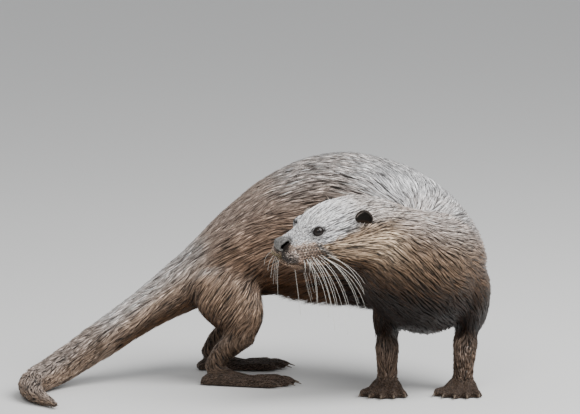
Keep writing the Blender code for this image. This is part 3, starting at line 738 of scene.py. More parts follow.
# dark lines run back from the eye and up to the ear, the eye's corners and lids are dark, a painted reflection
# lies pale on the lower lid, and the crease behind the ear is painted dark as painted shade
beyond = mark_of(skin.data, "beyond_lids")
beyond[is_ear] = 1.0
sideways = np.abs(leftmost)
eye_line = np.exp(-(((high - (0.0176 - 0.16 * (behind - 0.040))) / 0.0009) ** 2))
eye_line *= eased(0.043, 0.047, behind) * (1 - eased(0.070, 0.084, behind))
ear_line = np.exp(-(((high - 0.0204) / 0.0008) ** 2))
ear_line *= eased(0.056, 0.062, behind) * (1 - eased(0.074, 0.080, behind))
colour = towards(0.75 * np.maximum(eye_line, ear_line) * (sideways > 0.018) * on_face, (0.055, 0.041, 0.033))
EYE_CORNERS = (
    ((0.0346, 0.0180, 0.0196), (0.0032, 0.0036, 0.0026)),
    ((0.0447, 0.0260, 0.0176), (0.0024, 0.0040, 0.0022)),
)
one_side = np.stack((behind, sideways, high), axis=1)
inner_corner, outer_corner = (
    np.exp(-(np.sum(((one_side - centre) / reach) ** 2, axis=1) ** 2)) for centre, reach in EYE_CORNERS
)
over_lid = np.exp(-(((beyond - 0.0012) / 0.0012) ** 2)) * eased(0.018, 0.0205, high)
colour = towards(np.maximum(np.maximum(inner_corner, outer_corner), 0.8 * over_lid) * on_face, (0.014, 0.010, 0.008))
# painted reflection: a pale crescent on the lower lid
lower_lid_reflection = np.exp(-(((beyond - 0.0016) / 0.0010) ** 2)) * eased(0.018, 0.015, high)
colour = towards(0.7 * lower_lid_reflection, (0.58, 0.55, 0.52))
colour = towards(1.0 - eased(0.0003, 0.0009, beyond), (0.010, 0.008, 0.007))
# the bare inside is near black, its own dark skin with painted shade in the hollow, and a pale arc on the rim is a
# painted highlight
bare_ear = mark_of(skin.data, "ear_inside")
colour = towards(bare_ear, (0.006, 0.0045, 0.0035))
colour = towards(0.8 * mark_of(skin.data, "ear_arc"), (0.34, 0.29, 0.26))
colour = towards(0.5 * mark_of(skin.data, "ear_low") * is_ear, (0.050, 0.030, 0.018))
# painted shade: a dark crease line behind the ear
crease_shade_behind_ear = np.exp(-(((high - 0.0110 + 0.6 * (behind - 0.097)) / 0.0015) ** 2))
crease_shade_behind_ear *= eased(0.094, 0.098, behind) * (1 - eased(0.108, 0.118, behind))
colour = towards(0.85 * crease_shade_behind_ear * (sideways > 0.028), (0.030, 0.022, 0.018))

# painted shade: the underside is painted darker, and the low breast is darker both for its wet coat and as painted
# shade
on_trunk = np.isin(parts, ("neck", "shoulders", "chest", "loin", "rump", "tail_base", "thigh", "upper_arm"))
underside_painted_shade = eased(0.25, -0.65, normals[:, 2]) * (on_trunk | on_face) * (1 - on_face * eased(-0.006, 0.002, high))
colour *= 1 - underside_painted_shade[:, None] * (1 - np.array((0.23, 0.16, 0.10)))
soaked_and_shaded = eased(0.158, 0.095, points[:, 2]) * np.isin(parts, ("neck", "shoulders", "chest", "upper_arm"))
colour *= 1 - soaked_and_shaded[:, None] * (1 - np.array((0.28, 0.225, 0.175)))

# the lips and the hair against the nose
lip_gap = high - along_mouth(behind)
at_mouth = on_face & (behind < 0.042)
peppered = np.exp(-((((behind - 0.0030) / 0.0085) ** 2 + ((high + 0.0020) / 0.0075) ** 2) ** 2)) * (leftmost > 0.003)
colour = towards(0.85 * peppered * at_mouth, (0.165, 0.145, 0.135))
lower_lip = 0.80 * np.exp(-(((lip_gap + 0.0036) / 0.0022) ** 2)) * at_mouth
colour = towards(lower_lip, (0.085, 0.055, 0.038))
colour = towards(lower_lip * (1 - eased(0.010, 0.020, behind)), (0.400, 0.270, 0.185))
far_lip = np.exp(-(((lip_gap - 0.0032) / 0.0030) ** 2)) * at_mouth * (behind < 0.016) * (leftmost < 0.004)
colour = towards(0.80 * far_lip, (0.300, 0.240, 0.120))
# painted shade: the front of the near upper lip, under the nose, is painted dark
near_lip_front_shade = np.exp(-(((lip_gap - 0.0040) / 0.0036) ** 2)) * at_mouth * (leftmost > 0.001)
colour = towards(0.90 * near_lip_front_shade * (1 - eased(0.007, 0.013, behind)), (0.030, 0.024, 0.020))
# painted shade: the mouth's crease is painted near black
colour = towards(0.9 * np.exp(-(((lip_gap + 0.0003) / 0.0010) ** 2)) * at_mouth, (0.010, 0.007, 0.005))
from_nose = np.linalg.norm((placed - NOSE_MIDDLE) / NOSE_SIZE, axis=1)
beside_nose = eased(1.95, 1.45, from_nose) * eased(0.0100, 0.0065, high) * eased(0.002, 0.004, sideways)
colour = towards(0.90 * beside_nose, (0.050, 0.040, 0.034))
# painted shade: the ditch round the nose pad is painted near black
colour = towards(eased(1.28, 1.10, from_nose), (0.020, 0.016, 0.014))
no_hair = (beyond < 0.0010) | (bare_ear > 0.4) | (from_nose < 1.18) | (points[:, 2] < 0.0012)
no_hair |= np.isin(parts, ("hindpaw", "forepaw")) & (normals[:, 2] < -0.3)
no_hair |= at_mouth & (np.abs(lip_gap + 0.0003) < 0.0009) & (behind > -0.02)


def colour_layer(mesh, values):
    """Keeps the coat's colour at each vertex, for the material to read."""
    layer = mesh.attributes.new("coat_colour", "FLOAT_COLOR", "POINT")
    four = np.ones((len(values), 4), dtype=np.float32)
    four[:, :3] = np.clip(values, 0.0, 1.0)
    layer.data.foreach_set("color", four.ravel())


# painted shade: the hide under the hair is darkened to about a quarter of the coat's colour
colour_layer(skin.data, colour * np.where(no_hair, 1.0, 0.26)[:, None])
lay_map = skin.data.uv_layers.new(name="lie")
loop_point = np.empty(len(skin.data.loops), dtype=np.int64)
skin.data.loops.foreach_get("vertex_index", loop_point)
lay_map.data.foreach_set("uv", np.stack((along, around * 0.05), axis=1)[loop_point].astype(np.float32).ravel())

# ---------------------------------------------------------------- coat
# Guard hairs drawn together by the water into flat pointed locks that overlap like shingles.
# Each lock is a thin solid blade from its root in the hide, bent along the body, drawn to its clump's tip.

triangles = loop_point.reshape(-1, 3)
corner_a, corner_b, corner_c = (points[triangles[:, n]] for n in range(3))
area = 0.5 * np.linalg.norm(np.cross(corner_b - corner_a, corner_c - corner_a), axis=1)
hairy = ~no_hair[triangles].any(axis=1)


def finder_of(places):
    """A finder of the nearest of these places."""
    finder = KDTree(len(places))
    for number, place in enumerate(places):
        finder.insert(place, number)
    finder.balance()
    return finder


hide_finder = finder_of(points)

# the unwrap of the hide: the body fills the lower part, and each lower leg with its paw has a patch above it
CHARTS = {
    "body": (0.01, 0.01, 0.98, 0.60),
    "hind_left": (0.01, 0.64, 0.22, 0.34),
    "hind_right": (0.26, 0.64, 0.22, 0.34),
    "fore_left": (0.51, 0.64, 0.22, 0.34),
    "fore_right": (0.76, 0.64, 0.22, 0.34),
}
corner_u, corner_v, wide, tall = CHARTS["body"]
chart_u = np.clip(along / spine_length[-1], 0.0, 1.0) * wide + corner_u
chart_v = (around / (2 * math.pi) + 0.5) * tall + corner_v
for side in ("left", "right"):
    for end, low, paw in (("hind", "shank", "hindpaw"), ("fore", "forearm", "forepaw")):
        corner_u, corner_v, wide, tall = CHARTS[f"{end}_{side}"]
        for part, start, share in ((low, 0.0, 0.42), (paw, 0.46, 0.54)):
            here = (parts == part) & (sides == side)
            low_end, high_end = along[here].min(), along[here].max()
            chart_u[here] = corner_u + wide * (start + share * (along[here] - low_end) / (high_end - low_end))
            chart_v[here] = corner_v + tall * (around[here] / (2 * math.pi) + 0.5)


def scattered(weight, seed):
    """Root places over the hide, so many a triangle: their triangles, and the weights of its corners."""
    total = np.cumsum(weight)
    count = int(total[-1])
    pick = (np.arange(count) + np.random.default_rng(seed).random(count)) / count * total[-1]
    chosen = np.minimum(np.searchsorted(total, pick), len(weight) - 1)
    first, second = np.random.default_rng(seed + 1).random((2, count))
    over = first + second > 1
    first[over], second[over] = 1 - first[over], 1 - second[over]
    return chosen, np.stack((1 - first - second, first, second), axis=1)


def at_roots(values, chosen, shares):
    """The hide's values at the root places."""
    picked = values[triangles[chosen]]
    if picked.ndim == 2:
        return np.sum(picked * shares, axis=1)
    return np.sum(picked * shares[:, :, None], axis=1)


def on_hide(places):
    """The nearest place on the hide for each place, with its normal, its lie and its vertex."""
    found = np.fromiter((hide_finder.find(place)[1] for place in places), dtype=np.int64, count=len(places))
    near, out = points[found], normals[found]
    landed = places - out * np.sum((places - near) * out, axis=1)[:, None]
    return landed, out, lay[found], found


def drawn_out(roots, way, length):
    """The middle and end of a hair along the hide from each root: places, normals, ways and colours there."""
    middle, middle_out, middle_way, middle_at = on_hide(roots + way * length[:, None] * 0.5)
    end, end_out, end_way, end_at = on_hide(middle + middle_way * length[:, None] * 0.5)
    return middle, middle_out, middle_way, end, end_out, end_way, colour[middle_at], colour[end_at]


def unit(vectors):
    """Each vector at a length of one."""
    return vectors / np.maximum(np.linalg.norm(vectors, axis=1), 1e-9)[:, None]


# the locks gather into long narrow strands on the body, and into small tufts on the face and feet
strand_wide = np.clip(lock_width * np.where(on_face, 1.7, 1.9), 0.0013, 0.0024)
strand_long = hair_length * 0.95
gather = spread(np.where(np.isin(parts, ("neck", "shoulders")), 0.85, 0.35), edges, 8)
strand_area = (strand_wide * strand_long)[triangles].mean(axis=1)
chosen, shares = scattered(np.where(hairy, 3.0 * area / strand_area, 0.0), 11)
strand_root = at_roots(points, chosen, shares)
strand_way = unit(at_roots(lay, chosen, shares))
strand_across = unit(np.cross(at_roots(normals, chosen, shares), strand_way))
half_long = 0.40 * at_roots(strand_long, chosen, shares)
half_wide = 0.90 * at_roots(strand_wide, chosen, shares)
rival_finder = finder_of(strand_root)
standing = np.ones(len(strand_root), dtype=bool)
for number in np.random.default_rng(19).permutation(len(strand_root)):
    if not standing[number]:
        continue
    reach = max(half_long[number], half_wide[number])
    rivals = np.array([hit[1] for hit in rival_finder.find_range(strand_root[number], reach)])
    rivals = rivals[rivals != number]
    apart = strand_root[rivals] - strand_root[number]
    along_gap = apart @ strand_way[number] / half_long[number]
    across_gap = apart @ strand_across[number] / half_wide[number]
    standing[rivals[along_gap**2 + across_gap**2 < 1.0]] = False
strand_root = strand_root[standing]
strand_shade = at_roots(colour, chosen, shares)[standing]
strand_light = np.random.default_rng(5).normal(0.0, 1.0, len(strand_root))
strand_finder = finder_of(strand_root)

# the whiskers stand in rows of small dark pits on each side of the muzzle
BED_ROWS, BED_PLACES = 6, 9
whisker_beds = {}
for side in (1, -1):
    for row in range(BED_ROWS):
        for place in range(BED_PLACES):
            back = 0.0105 + 0.0033 * place + 0.0013 * row
            up = 0.0062 - 0.0031 * row - 0.13 * (back - 0.010)
            pit, pit_out, _, _ = on_hide(from_head((back, side * (0.019 + 0.2 * back), up))[None])
            whisker_beds[side, row, place] = (pit[0], pit_out[0])
bed_finder = finder_of([pit for pit, _ in whisker_beds.values()])

# each lock takes its place in the nearest strand, and its middle and end are drawn in towards it
LOCKS = 138000
STRANDS_NEAR = 12
want = np.where(hairy, area / spacing[triangles].mean(axis=1) ** 2, 0.0)
want *= min(1.0, LOCKS / want.sum())
chosen, shares = scattered(want, 23)
root = at_roots(points, chosen, shares)
root_out = unit(at_roots(normals, chosen, shares))
root_way = unit(at_roots(lay, chosen, shares))
count = len(root)
vary = np.random.default_rng(31).normal(0.0, 1.0, (4, count))
length = at_roots(hair_length, chosen, shares) * np.clip(1.0 + 0.18 * vary[0], 0.5, 1.5)
width = at_roots(lock_width, chosen, shares) * np.clip(1.0 + 0.15 * vary[1], 0.6, 1.4)
height = at_roots(stand_height, chosen, shares)
shade = at_roots(colour, chosen, shares)
root_place = at_roots(placed, chosen, shares)
across = unit(np.cross(root_out, root_way))
wide = at_roots(strand_wide, chosen, shares)
near_strands = np.array([[hit[1] for hit in strand_finder.find_n(place, STRANDS_NEAR)] for place in root])
gap = strand_root[near_strands] - root[:, None]
strand_gap = (np.einsum("nkc,nc->nk", gap, root_way) / length[:, None]) ** 2
strand_gap += (np.einsum("nkc,nc->nk", gap, across) / wide[:, None]) ** 2
strand_gap += (np.einsum("nkc,nc->nk", gap, root_out) / wide[:, None]) ** 2
strand = near_strands[np.arange(count), np.argmin(strand_gap, axis=1)]
aside = np.clip(np.sum((strand_root[strand] - root) * across, axis=1), -1.2 * wide, 1.2 * wide)
ahead = np.sum((strand_root[strand] - root) * root_way, axis=1)
length = np.clip(length + at_roots(gather, chosen, shares) * ahead, 0.6 * length, 1.5 * length)
middle, middle_out, middle_way, end, end_out, end_way, middle_shade, end_shade = drawn_out(root, root_way, length)
lock_shade = np.stack((shade, middle_shade, end_shade), axis=1)
from_strand = 0.38 * np.clip((root_place[:, 0] - 0.052) / 0.030, 0.0, 1.0)[:, None, None]
lock_shade = (1.0 - from_strand) * lock_shade + from_strand * strand_shade[strand][:, None]
middle_across = unit(np.cross(middle_out, middle_way))
end_across = unit(np.cross(end_out, end_way))
middle = middle + middle_across * (0.50 * aside)[:, None]
end = end + end_across * (0.88 * aside)[:, None]
lift = np.clip(0.66 + 0.20 * strand_light[strand] + 0.14 * vary[2], 0.15, 1.1)
middle = middle + middle_out * (0.50 * height * lift)[:, None]
end = end + end_out * (height * lift)[:, None]
root = root - root_out * 0.0003


def ring(place, out, sideways, wide, thick):
    """Three corners of a lock's section: left edge, ridge and right edge."""
    half = sideways * (wide / 2)[:, None]
    low, ridge = (out * (thick * share)[:, None] for share in (0.25, 0.75))
    return np.stack((place - half - low, place + ridge, place + half - low), axis=1)


blade = np.concatenate(
    (
        ring(root, root_out, across, width * 0.85, width * 0.30),
        ring(middle, middle_out, middle_across, width, width * 0.34),
        end[:, None, :],
    ),
    axis=1,
)
BLADE_POINTS = 7
BLADE_FACES = np.array(
    ((0, 2, 1), (0, 1, 4), (0, 4, 3), (1, 2, 5), (1, 5, 4), (2, 0, 3), (2, 3, 5), (3, 4, 6), (4, 5, 6), (5, 3, 6))
)
blade[:, :, 2] = np.maximum(blade[:, :, 2], 0.0003)

# a lock is painted dark at its root and at its strand's edge as painted shade, with a painted highlight along its
# ridge, and lighter to its tip, partly for its pale tip and partly as painted highlight
ALONG_BLADE = np.array((0.0, 0.0, 0.0, 0.55, 0.55, 0.55, 1.0))
RIDGE_HIGHLIGHT = np.array((0.0, 1.0, 0.0, 0.0, 1.0, 0.0, 0.7))
strand_edge_shade = 1.0 - 0.92 * np.exp(-(((np.abs(aside) / wide - 0.66) / 0.27) ** 2))
by_beds = (root_place[:, 0] < 0.048) & (np.abs(root_place[:, 2]) < 0.022)
by_beds &= np.linalg.norm(root - np.array(muzzle_tip), axis=1) < 0.09
unevenness = 0.16 + 0.22 * by_beds + at_roots(0.75 * peppered + 0.18 * crown_sky_reflection, chosen, shares)
light = np.exp(0.24 * np.clip(strand_light[strand], -2.0, 1.6) + unevenness * vary[3]) * strand_edge_shade * 1.30
tone = (0.14 + 0.72 * ALONG_BLADE + 0.50 * RIDGE_HIGHLIGHT)[None, :] * light[:, None]
blade_colour = np.clip(lock_shade[:, (0, 0, 0, 1, 1, 1, 2)] * tone[:, :, None], 0.0, 1.0)
for number in np.nonzero(by_beds)[0]:
    for corner in range(3, BLADE_POINTS):
        dot_gap = bed_finder.find(blade[number, corner])[2]
        blade_colour[number, corner] *= 1.0 - 0.94 * eased(0.0019, 0.0011, dot_gap)

# each lock is a small patch at its root's place on the unwrap
chart = np.stack((at_roots(chart_u, chosen, shares), at_roots(chart_v, chosen, shares)), axis=1)
wrapped = np.ptp(chart_v[triangles[chosen]], axis=1) > 0.2
chart[wrapped, 1] = chart_v[triangles[chosen][:, 0]][wrapped]
PATCH_SIZE = 0.003
ACROSS_BLADE = np.array((0.0, 0.5, 1.0, 0.0, 0.5, 1.0, 0.5))
PATCH = np.stack((ALONG_BLADE, ACROSS_BLADE), axis=1) * PATCH_SIZE
lock_part = parts[triangles[chosen][:, 0]]


def new_material(name):
    """A new material, with its nodes, its links and its shader."""
    made = bpy.data.materials.new(name)
    made.use_nodes = True
    return made, made.node_tree.nodes, made.node_tree.links, made.node_tree.nodes["Principled BSDF"]


def pattern_node(nodes, links, kind, scale):
    """A noise or a pebble pattern of this scale, fixed to the piece itself."""
    where = nodes.new("ShaderNodeTexCoord")
    pattern = nodes.new(kind)
    pattern.inputs["Scale"].default_value = scale
    links.new(where.outputs["Object"], pattern.inputs["Vector"])
    return pattern


def mark_node(nodes, name):
    """Reads a value that was kept at the vertices."""
    mark = nodes.new("ShaderNodeAttribute")
    mark.attribute_name = name
    return mark


def ramp_node(nodes, links, value, stops):
    """Turns a value into a colour, through these stops."""
    ramp = nodes.new("ShaderNodeValToRGB")
    elements = ramp.color_ramp.elements
    for number, (place, tint) in enumerate(stops):
        element = elements[number] if number < len(elements) else elements.new(place)
        element.position = place
        element.color = (*tint, 1)
    links.new(value, ramp.inputs["Fac"])
    return ramp


def span_node(nodes, links, value, low, high):
    """Stretches a value that runs from 0 to 1 so that it runs from low to high."""
    span = nodes.new("ShaderNodeMapRange")
    span.inputs["To Min"].default_value = low
    span.inputs["To Max"].default_value = high
    links.new(value, span.inputs["Value"])
    return span.outputs["Result"]


wet_coat, nodes, links, shader = new_material("wet_coat")
mottle = pattern_node(nodes, links, "ShaderNodeTexNoise", 38.0)
mottle.inputs["Detail"].default_value = 4.0
mottled = nodes.new("ShaderNodeVectorMath")
mottled.operation = "SCALE"
links.new(mark_node(nodes, "coat_colour").outputs["Color"], mottled.inputs[0])
links.new(span_node(nodes, links, mottle.outputs["Fac"], 0.80, 1.22), mottled.inputs["Scale"])
links.new(mottled.outputs["Vector"], shader.inputs["Base Color"])
shader.inputs["Roughness"].default_value = 0.36
shader.inputs["Specular IOR Level"].default_value = 0.42


def comb(name, mine):
    """Makes one piece of the coat from the chosen locks."""
    number = int(mine.sum())
    mesh = bpy.data.meshes.new(name)
    mesh.vertices.add(number * BLADE_POINTS)
    mesh.vertices.foreach_set("co", blade[mine].astype(np.float32).ravel())
    corners = (BLADE_FACES[None] + BLADE_POINTS * np.arange(number)[:, None, None]).reshape(-1)
    mesh.loops.add(len(corners))
    mesh.loops.foreach_set("vertex_index", corners.astype(np.int32))
    mesh.polygons.add(number * len(BLADE_FACES))
    mesh.polygons.foreach_set("loop_start", np.arange(0, len(corners), 3, dtype=np.int32))
    mesh.update(calc_edges=True)
    colour_layer(mesh, blade_colour[mine].reshape(-1, 3))
    bake_map = mesh.uv_layers.new(name="OFBake")
    spots = (chart[mine][:, None, :] + PATCH[None]).reshape(-1, 2)
    bake_map.data.foreach_set("uv", spots[corners].astype(np.float32).ravel())
    mesh.materials.append(wet_coat)
    piece = bpy.data.objects.new(name, mesh)
    bpy.context.collection.objects.link(piece)
    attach(piece, "root")


LOCKS_IN_A_PIECE = 19500
PIECES = (
    ("coat_tail", "fur_back", ("tail_base", "tail_middle", "tail_tip")),
    ("coat_rump", "fur_back", ("rump",)),
    ("coat_loin", "fur_back", ("loin",)),
    ("coat_chest", "fur_back", ("chest",)),
    ("coat_shoulders", "fur_back", ("shoulders", "upper_arm")),
    ("coat_neck", "fur_throat", ("neck",)),
    ("coat_head", "fur_face", ("head", "lower_jaw", "nose", "eye", "ear")),
    ("coat_legs", "fur_paw", ("thigh", "shank", "hindpaw", "forearm", "forepaw")),
)
for name, slot, of_parts in PIECES:
    mine = np.isin(lock_part, of_parts)
    number = int(mine.sum())
    shares_wanted = math.ceil(number / LOCKS_IN_A_PIECE)
    order = np.argsort(np.where(mine, root[:, 2], np.inf))[:number]
    for share in range(shares_wanted):
        some = np.zeros(count, dtype=bool)
        some[order[share * number // shares_wanted : (share + 1) * number // shares_wanted]] = True
        comb(name if shares_wanted == 1 else f"{name}_{share + 1}", some)

# the hide carries the same colours, painted darker under the hair as painted shade
hide, nodes, links, shader = new_material("hide")
links.new(mark_node(nodes, "coat_colour").outputs["Color"], shader.inputs["Base Color"])
shader.inputs["Roughness"].default_value = 0.6
shader.inputs["Specular IOR Level"].default_value = 0.12
skin.data.materials.clear()
skin.data.materials.append(hide)
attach(skin, "root")
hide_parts(*[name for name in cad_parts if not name.startswith(("claw", "eye", "nose"))])

# ---------------------------------------------------------------- nose
# The bare pad of the nose: damp dark grey skin, finely pebbled, broad above and narrowed to the lip's groove.
# The nostrils are commas that open to the sides.

bpy.ops.object.select_all(action="DESELECT")
bpy.ops.mesh.primitive_uv_sphere_add(segments=96, ring_count=64, radius=1.0)
nose = bpy.context.object
nose.name = "nose_pad"
x, y, z = points_of(nose.data).T
narrowing = 1.0 - 0.38 * eased(-0.25, 1.0, -z)
groove = 0.10 * np.exp(-((y / 0.14) ** 2)) * eased(-0.3, 0.6, -z)
pad = np.stack(
    (
        NOSE_SIZE[0] * (np.sign(x) * np.abs(x) ** 0.8 - groove * (x > 0)),
        NOSE_SIZE[1] * np.sign(y) * np.abs(y) ** 0.85 * narrowing,
        NOSE_SIZE[2] * z,
    ),
    axis=1,
)
put_points(nose.data, pad)
pad_out = normals_of(nose.data)

# each nostril is a round opening with a slit that runs up and back from it, inside a slightly raised rim
blob = np.array((0.0034, 0.0090, -0.0008))
slit_end = np.array((-0.0022, 0.0097, 0.0033))
folded = pad * (1, 0, 1) + np.abs(pad) * (0, 1, 0)
share = np.clip((folded - blob) @ (slit_end - blob) / np.sum((slit_end - blob) ** 2), 0.0, 1.0)
comma_gap = np.linalg.norm(folded - (blob + share[:, None] * (slit_end - blob)), axis=1)
comma_wide = 0.0050 - 0.0020 * share
opened = 1.0 - eased(0.6, 1.05, comma_gap / comma_wide)
wing = 0.0005 * np.exp(-(((comma_gap / comma_wide - 1.25) / 0.25) ** 2))
pad = pad - pad_out * (0.0038 * opened - wing)[:, None]
put_points(nose.data, placed_by(head_frame(*NOSE_MIDDLE), pad))
keep_mark(nose.data, "nostril", eased(0.15, 0.6, opened))
select_only(nose)
bpy.ops.object.shade_smooth()
damp, nodes, links, shader = new_material("damp_nose")
blotches = pattern_node(nodes, links, "ShaderNodeTexNoise", 300.0)
BLOTCH_TINTS = ((0.35, (0.050, 0.047, 0.044)), (0.68, (0.175, 0.168, 0.158)))
blotched = ramp_node(nodes, links, blotches.outputs["Fac"], BLOTCH_TINTS)
pebbles = pattern_node(nodes, links, "ShaderNodeTexVoronoi", 1400.0)
bumps = nodes.new("ShaderNodeBump")
bumps.inputs["Strength"].default_value = 0.7
bumps.inputs["Distance"].default_value = 0.0004
links.new(pebbles.outputs["Distance"], bumps.inputs["Height"])
links.new(bumps.outputs["Normal"], shader.inputs["Normal"])
# inside each nostril the colour turns near black: the dark wet skin, with painted shade in its hollow
inner = mark_node(nodes, "nostril")
tint = nodes.new("ShaderNodeMix")
tint.data_type = "RGBA"
mix_share, mix_outer, mix_inner = (tint.inputs[number] for number in (0, 6, 7))
links.new(inner.outputs["Fac"], mix_share)
links.new(blotched.outputs["Color"], mix_outer)
mix_inner.default_value = (0.0012, 0.0010, 0.0010, 1)
links.new(tint.outputs[2], shader.inputs["Base Color"])
links.new(span_node(nodes, links, inner.outputs["Fac"], 0.27, 0.95), shader.inputs["Roughness"])
nose.data.materials.append(damp)
# the deepest faces of the nostrils: near black and matt, as painted shade in the hollow
deep, nodes, links, shader = new_material("deep_nostril")
wet = pattern_node(nodes, links, "ShaderNodeTexNoise", 900.0)
DEEP_TINTS = ((0.0, (0.0006, 0.0005, 0.0005)), (1.0, (0.0030, 0.0022, 0.0020)))
links.new(ramp_node(nodes, links, wet.outputs["Fac"], DEEP_TINTS).outputs["Color"], shader.inputs["Base Color"])
shader.inputs["Roughness"].default_value = 0.9
shader.inputs["Specular IOR Level"].default_value = 0.0
nose.data.materials.append(deep)
face_open = np.array([opened[list(face.vertices)].mean() for face in nose.data.polygons])
nose.data.polygons.foreach_set("material_index", (face_open > 0.35).astype(np.int32))
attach(nose, "root")
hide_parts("nose")

# ---------------------------------------------------------------- eyes
# Small wet eyes, almost black, with a brown ring round the pupil and a clear bulge in front.
# Each is one smooth ball in its solid's place, turned to look out between the lids that are pressed round it.


def make_eye(side):
    """One wet ball with its bulge in front, turned to look out of its lids."""
    bpy.ops.object.select_all(action="DESELECT")
    bpy.ops.mesh.primitive_uv_sphere_add(segments=64, ring_count=40, radius=EYE_RADIUS)
    eye = bpy.context.object
    eye.name = "wet_eye_" + side
    ball = points_of(eye.data)
    bulge = 0.0004 * eased(0.55, 0.95, ball[:, 2] / EYE_RADIUS)
    ball = ball + np.array((0.0, 0.0, 1.0)) * bulge[:, None]
    from_axis = np.hypot(ball[:, 0], ball[:, 1]) / EYE_RADIUS
    turned = np.array(gaze(side).to_track_quat("Z", "Y").to_matrix())
    put_points(eye.data, ball @ turned.T + np.array(eye_middles[side]))
    keep_mark(eye.data, "from_pupil", np.where(ball[:, 2] > 0, from_axis, 1.0))
    select_only(eye)
    bpy.ops.object.shade_smooth()
    eye.data.materials.append(wet_eye)
    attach(eye, "root")
    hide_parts("eye_" + side)


wet_eye, nodes, links, shader = new_material("wet_eye")
IRIS_TINTS = ((0.26, (0.002, 0.002, 0.002)), (0.34, (0.012, 0.006, 0.003)), (0.62, (0.006, 0.004, 0.003)))
iris = ramp_node(nodes, links, mark_node(nodes, "from_pupil").outputs["Fac"], IRIS_TINTS)
links.new(iris.outputs["Color"], shader.inputs["Base Color"])
shader.inputs["Roughness"].default_value = 0.05
shader.inputs["Specular IOR Level"].default_value = 0.32
for side in ("left", "right"):
    make_eye(side)

# ---------------------------------------------------------------- whiskers
# Stiff white bristles in rows on the muzzle, wet and hanging, with a few short ones at the lip and over each eye.
# Each is a tapered five-sided rod from its root in the lip.

WHISKER_STEPS = 11
WHISKER_SIDES = 5


def rods(paths, thick_root, thick_tip):
    """One mesh's places and faces for tapered rods along these paths, all of WHISKER_STEPS points."""
    places, faces = [], []
    for path, thick in zip(paths, thick_root):
        way = unit(np.gradient(path, axis=0))
        side_way = unit(np.cross(way, (0.31, 0.22, 0.92)))
        other = np.cross(way, side_way)
        first = sum(len(block) for block in places)
        share = np.linspace(0.0, 1.0, WHISKER_STEPS)
        thickness = thick + (thick_tip - thick) * share**0.8
        for turn in range(WHISKER_SIDES):
            angle = turn * 2 * math.pi / WHISKER_SIDES
            places.append(path + (side_way * math.cos(angle) + other * math.sin(angle)) * thickness[:, None])
        for turn in range(WHISKER_SIDES):
            for step in range(WHISKER_STEPS - 1):
                a = first + turn * WHISKER_STEPS + step
                b = first + (turn + 1) % WHISKER_SIDES * WHISKER_STEPS + step
                faces.append((a, b, b + 1, a + 1))
        faces.append(tuple(first + turn * WHISKER_STEPS for turn in reversed(range(WHISKER_SIDES))))
        faces.append(tuple(first + turn * WHISKER_STEPS + WHISKER_STEPS - 1 for turn in range(WHISKER_SIDES)))
    return np.concatenate(places), faces


def bristle(start, out, reach, stiff=0.006):
    """A bristle from its pit, carried out and back first, then bent down by its own wet weight."""
    share = np.linspace(0.0, 1.0, WHISKER_STEPS)[:, None]
    reach = np.array(reach)
    bend = start + out * stiff + reach * (0.70, 0.50, 0.24)
    return (start - out * 0.0004) * (1 - share) ** 2 + 2 * bend * share * (1 - share) + (start + reach) * share**2


# the fan, front to back: the share of the way back, how far a whisker sweeps back, and how far it drops
FAN = (
    (0.0, 0.010, -0.046),
    (0.2, 0.018, -0.066),
    (0.4, 0.027, -0.072),
    (0.6, 0.036, -0.062),
    (0.8, 0.043, -0.046),
    (1.0, 0.044, -0.030),
)
FAN_WHISKERS = 16
FRONT_WHISKERS = 6
LIP_WHISKERS = 6
BROW_WHISKERS = 4
chance = np.random.default_rng(41)
whisker_paths, whisker_thick = [], []
for side in (1, -1):
    for number in range(FAN_WHISKERS):
        far = number / (FAN_WHISKERS - 1)
        at_front = side < 0 and number < FRONT_WHISKERS
        row = 3 + int(chance.integers(0, 3))
        pit, pit_out = whisker_beds[side, row, min(BED_PLACES - 1, int(round(1 + 7 * far)))]
        sweep, drop = (np.interp(far, [step[0] for step in FAN], [step[column] for step in FAN]) for column in (1, 2))
        size = 0.88 + 0.30 * chance.random()
        sweep += 0.006 * chance.normal()
        if side > 0:
            reach = (sweep * size, -0.004 + 0.006 * chance.random(), drop * size)
        elif at_front:
            front = from_head((0.0020, -0.0172 + 0.0021 * number, -0.0040 - 0.0011 * number))
            pit, pit_out = (found[0] for found in on_hide(front[None])[:2])
            reach = (-0.0080 + 0.0014 * number, -0.003, -(0.014 + 0.004 * number) * size)
        else:
            reach = (0.50 * sweep * size, 0.80 * sweep * size, drop * size)
        whisker_paths.append(bristle(pit, pit_out, reach, 0.0025 if at_front else 0.006))
        whisker_thick.append(0.00020 if number % 3 else 0.00014)
    for number in range(LIP_WHISKERS):
        pit, pit_out = whisker_beds[side, 4 + number % 2, number // 2]
        reach = (-0.002 + 0.004 * chance.random(), -0.002 * side, -(0.007 + 0.006 * chance.random()))
        whisker_paths.append(bristle(pit, pit_out, reach, 0.002))
        whisker_thick.append(0.00021)
    for number in range(BROW_WHISKERS):
        brow = from_head((0.0415 + 0.0012 * number, side * (0.0175 + 0.001 * number), 0.0300))
        pit, pit_out, _, _ = on_hide(brow[None])
        reach = np.array(upward) * (0.005 + 0.003 * chance.random()) - np.array(forward) * (0.003 + 0.0015 * number)
        whisker_paths.append(bristle(pit[0], pit_out[0], reach, 0.001))
        whisker_thick.append(0.00018)
places, faces = rods(whisker_paths, whisker_thick, 0.00009)
whisker_mesh = bpy.data.meshes.new("whiskers")
whisker_mesh.from_pydata(places.tolist(), [], faces)
whiskers = bpy.data.objects.new("whiskers", whisker_mesh)
bpy.context.collection.objects.link(whiskers)
select_only(whiskers)
bpy.ops.object.shade_smooth()
white_bristle, nodes, links, shader = new_material("white_bristle")
shader.inputs["Base Color"].default_value = (0.82, 0.80, 0.74, 1)
shader.inputs["Roughness"].default_value = 0.35
whisker_mesh.materials.append(white_bristle)
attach(whiskers, "root")

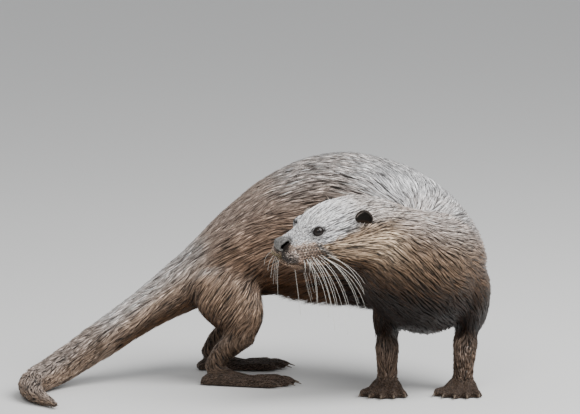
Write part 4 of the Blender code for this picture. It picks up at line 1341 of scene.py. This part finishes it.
# ---------------------------------------------------------------- claws
# Short blunt claws of dull brown horn, five on each paw, fixed in the ends of the toes.
# They are the solids themselves, unchanged in shape, and only given their horn.

claw_horn, nodes, links, shader = new_material("claw_horn")
grain = pattern_node(nodes, links, "ShaderNodeTexNoise", 420.0)
HORN_TINTS = ((0.0, (0.055, 0.042, 0.032)), (1.0, (0.17, 0.135, 0.10)))
links.new(ramp_node(nodes, links, grain.outputs["Fac"], HORN_TINTS).outputs["Color"], shader.inputs["Base Color"])
shader.inputs["Roughness"].default_value = 0.38
for name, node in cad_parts.items():
    if name.startswith("claw"):
        node.data.materials.clear()
        node.data.materials.append(claw_horn)

# ---------------------------------------------------------------- floor and light
# A pale floor and an even grey room. A broad soft light stands high out beyond the shoulders, on the side that
# is seen, as the sky that the wet coat mirrors. A small weak one lifts the shadows of that side.

bpy.ops.object.select_all(action="DESELECT")
bpy.ops.mesh.primitive_plane_add(size=60.0, location=(0, 0, 0))
floor = bpy.context.object
floor.name = "floor"
pale_floor, nodes, links, shader = new_material("pale_floor")
shader.inputs["Base Color"].default_value = (0.62, 0.62, 0.61, 1)
shader.inputs["Roughness"].default_value = 0.8
floor.data.materials.append(pale_floor)
world = bpy.data.worlds.new("room")
bpy.context.scene.world = world
world.use_nodes = True
world.node_tree.nodes["Background"].inputs["Color"].default_value = (0.86, 0.87, 0.89, 1)
world.node_tree.nodes["Background"].inputs["Strength"].default_value = 0.75


def soft_light(name, place, aim, size, power, tint):
    """A round soft light that faces the place aimed at."""
    light = bpy.data.lights.new(name, "AREA")
    light.shape = "DISK"
    light.size = size
    light.energy = power
    light.color = tint
    made = bpy.data.objects.new(name, light)
    made.location = place
    made.rotation_euler = (Vector(place) - Vector(aim)).to_track_quat("Z", "Y").to_euler()
    bpy.context.collection.objects.link(made)


soft_light("sky_light", (1.30, -0.80, 2.10), (0.05, 0.0, 0.1), 2.2, 112.0, (1.0, 1.0, 1.0))
soft_light("front_light", (-0.5, -2.2, 2.0), (0.05, 0.0, 0.12), 1.0, 20.0, (1.0, 0.98, 0.95))
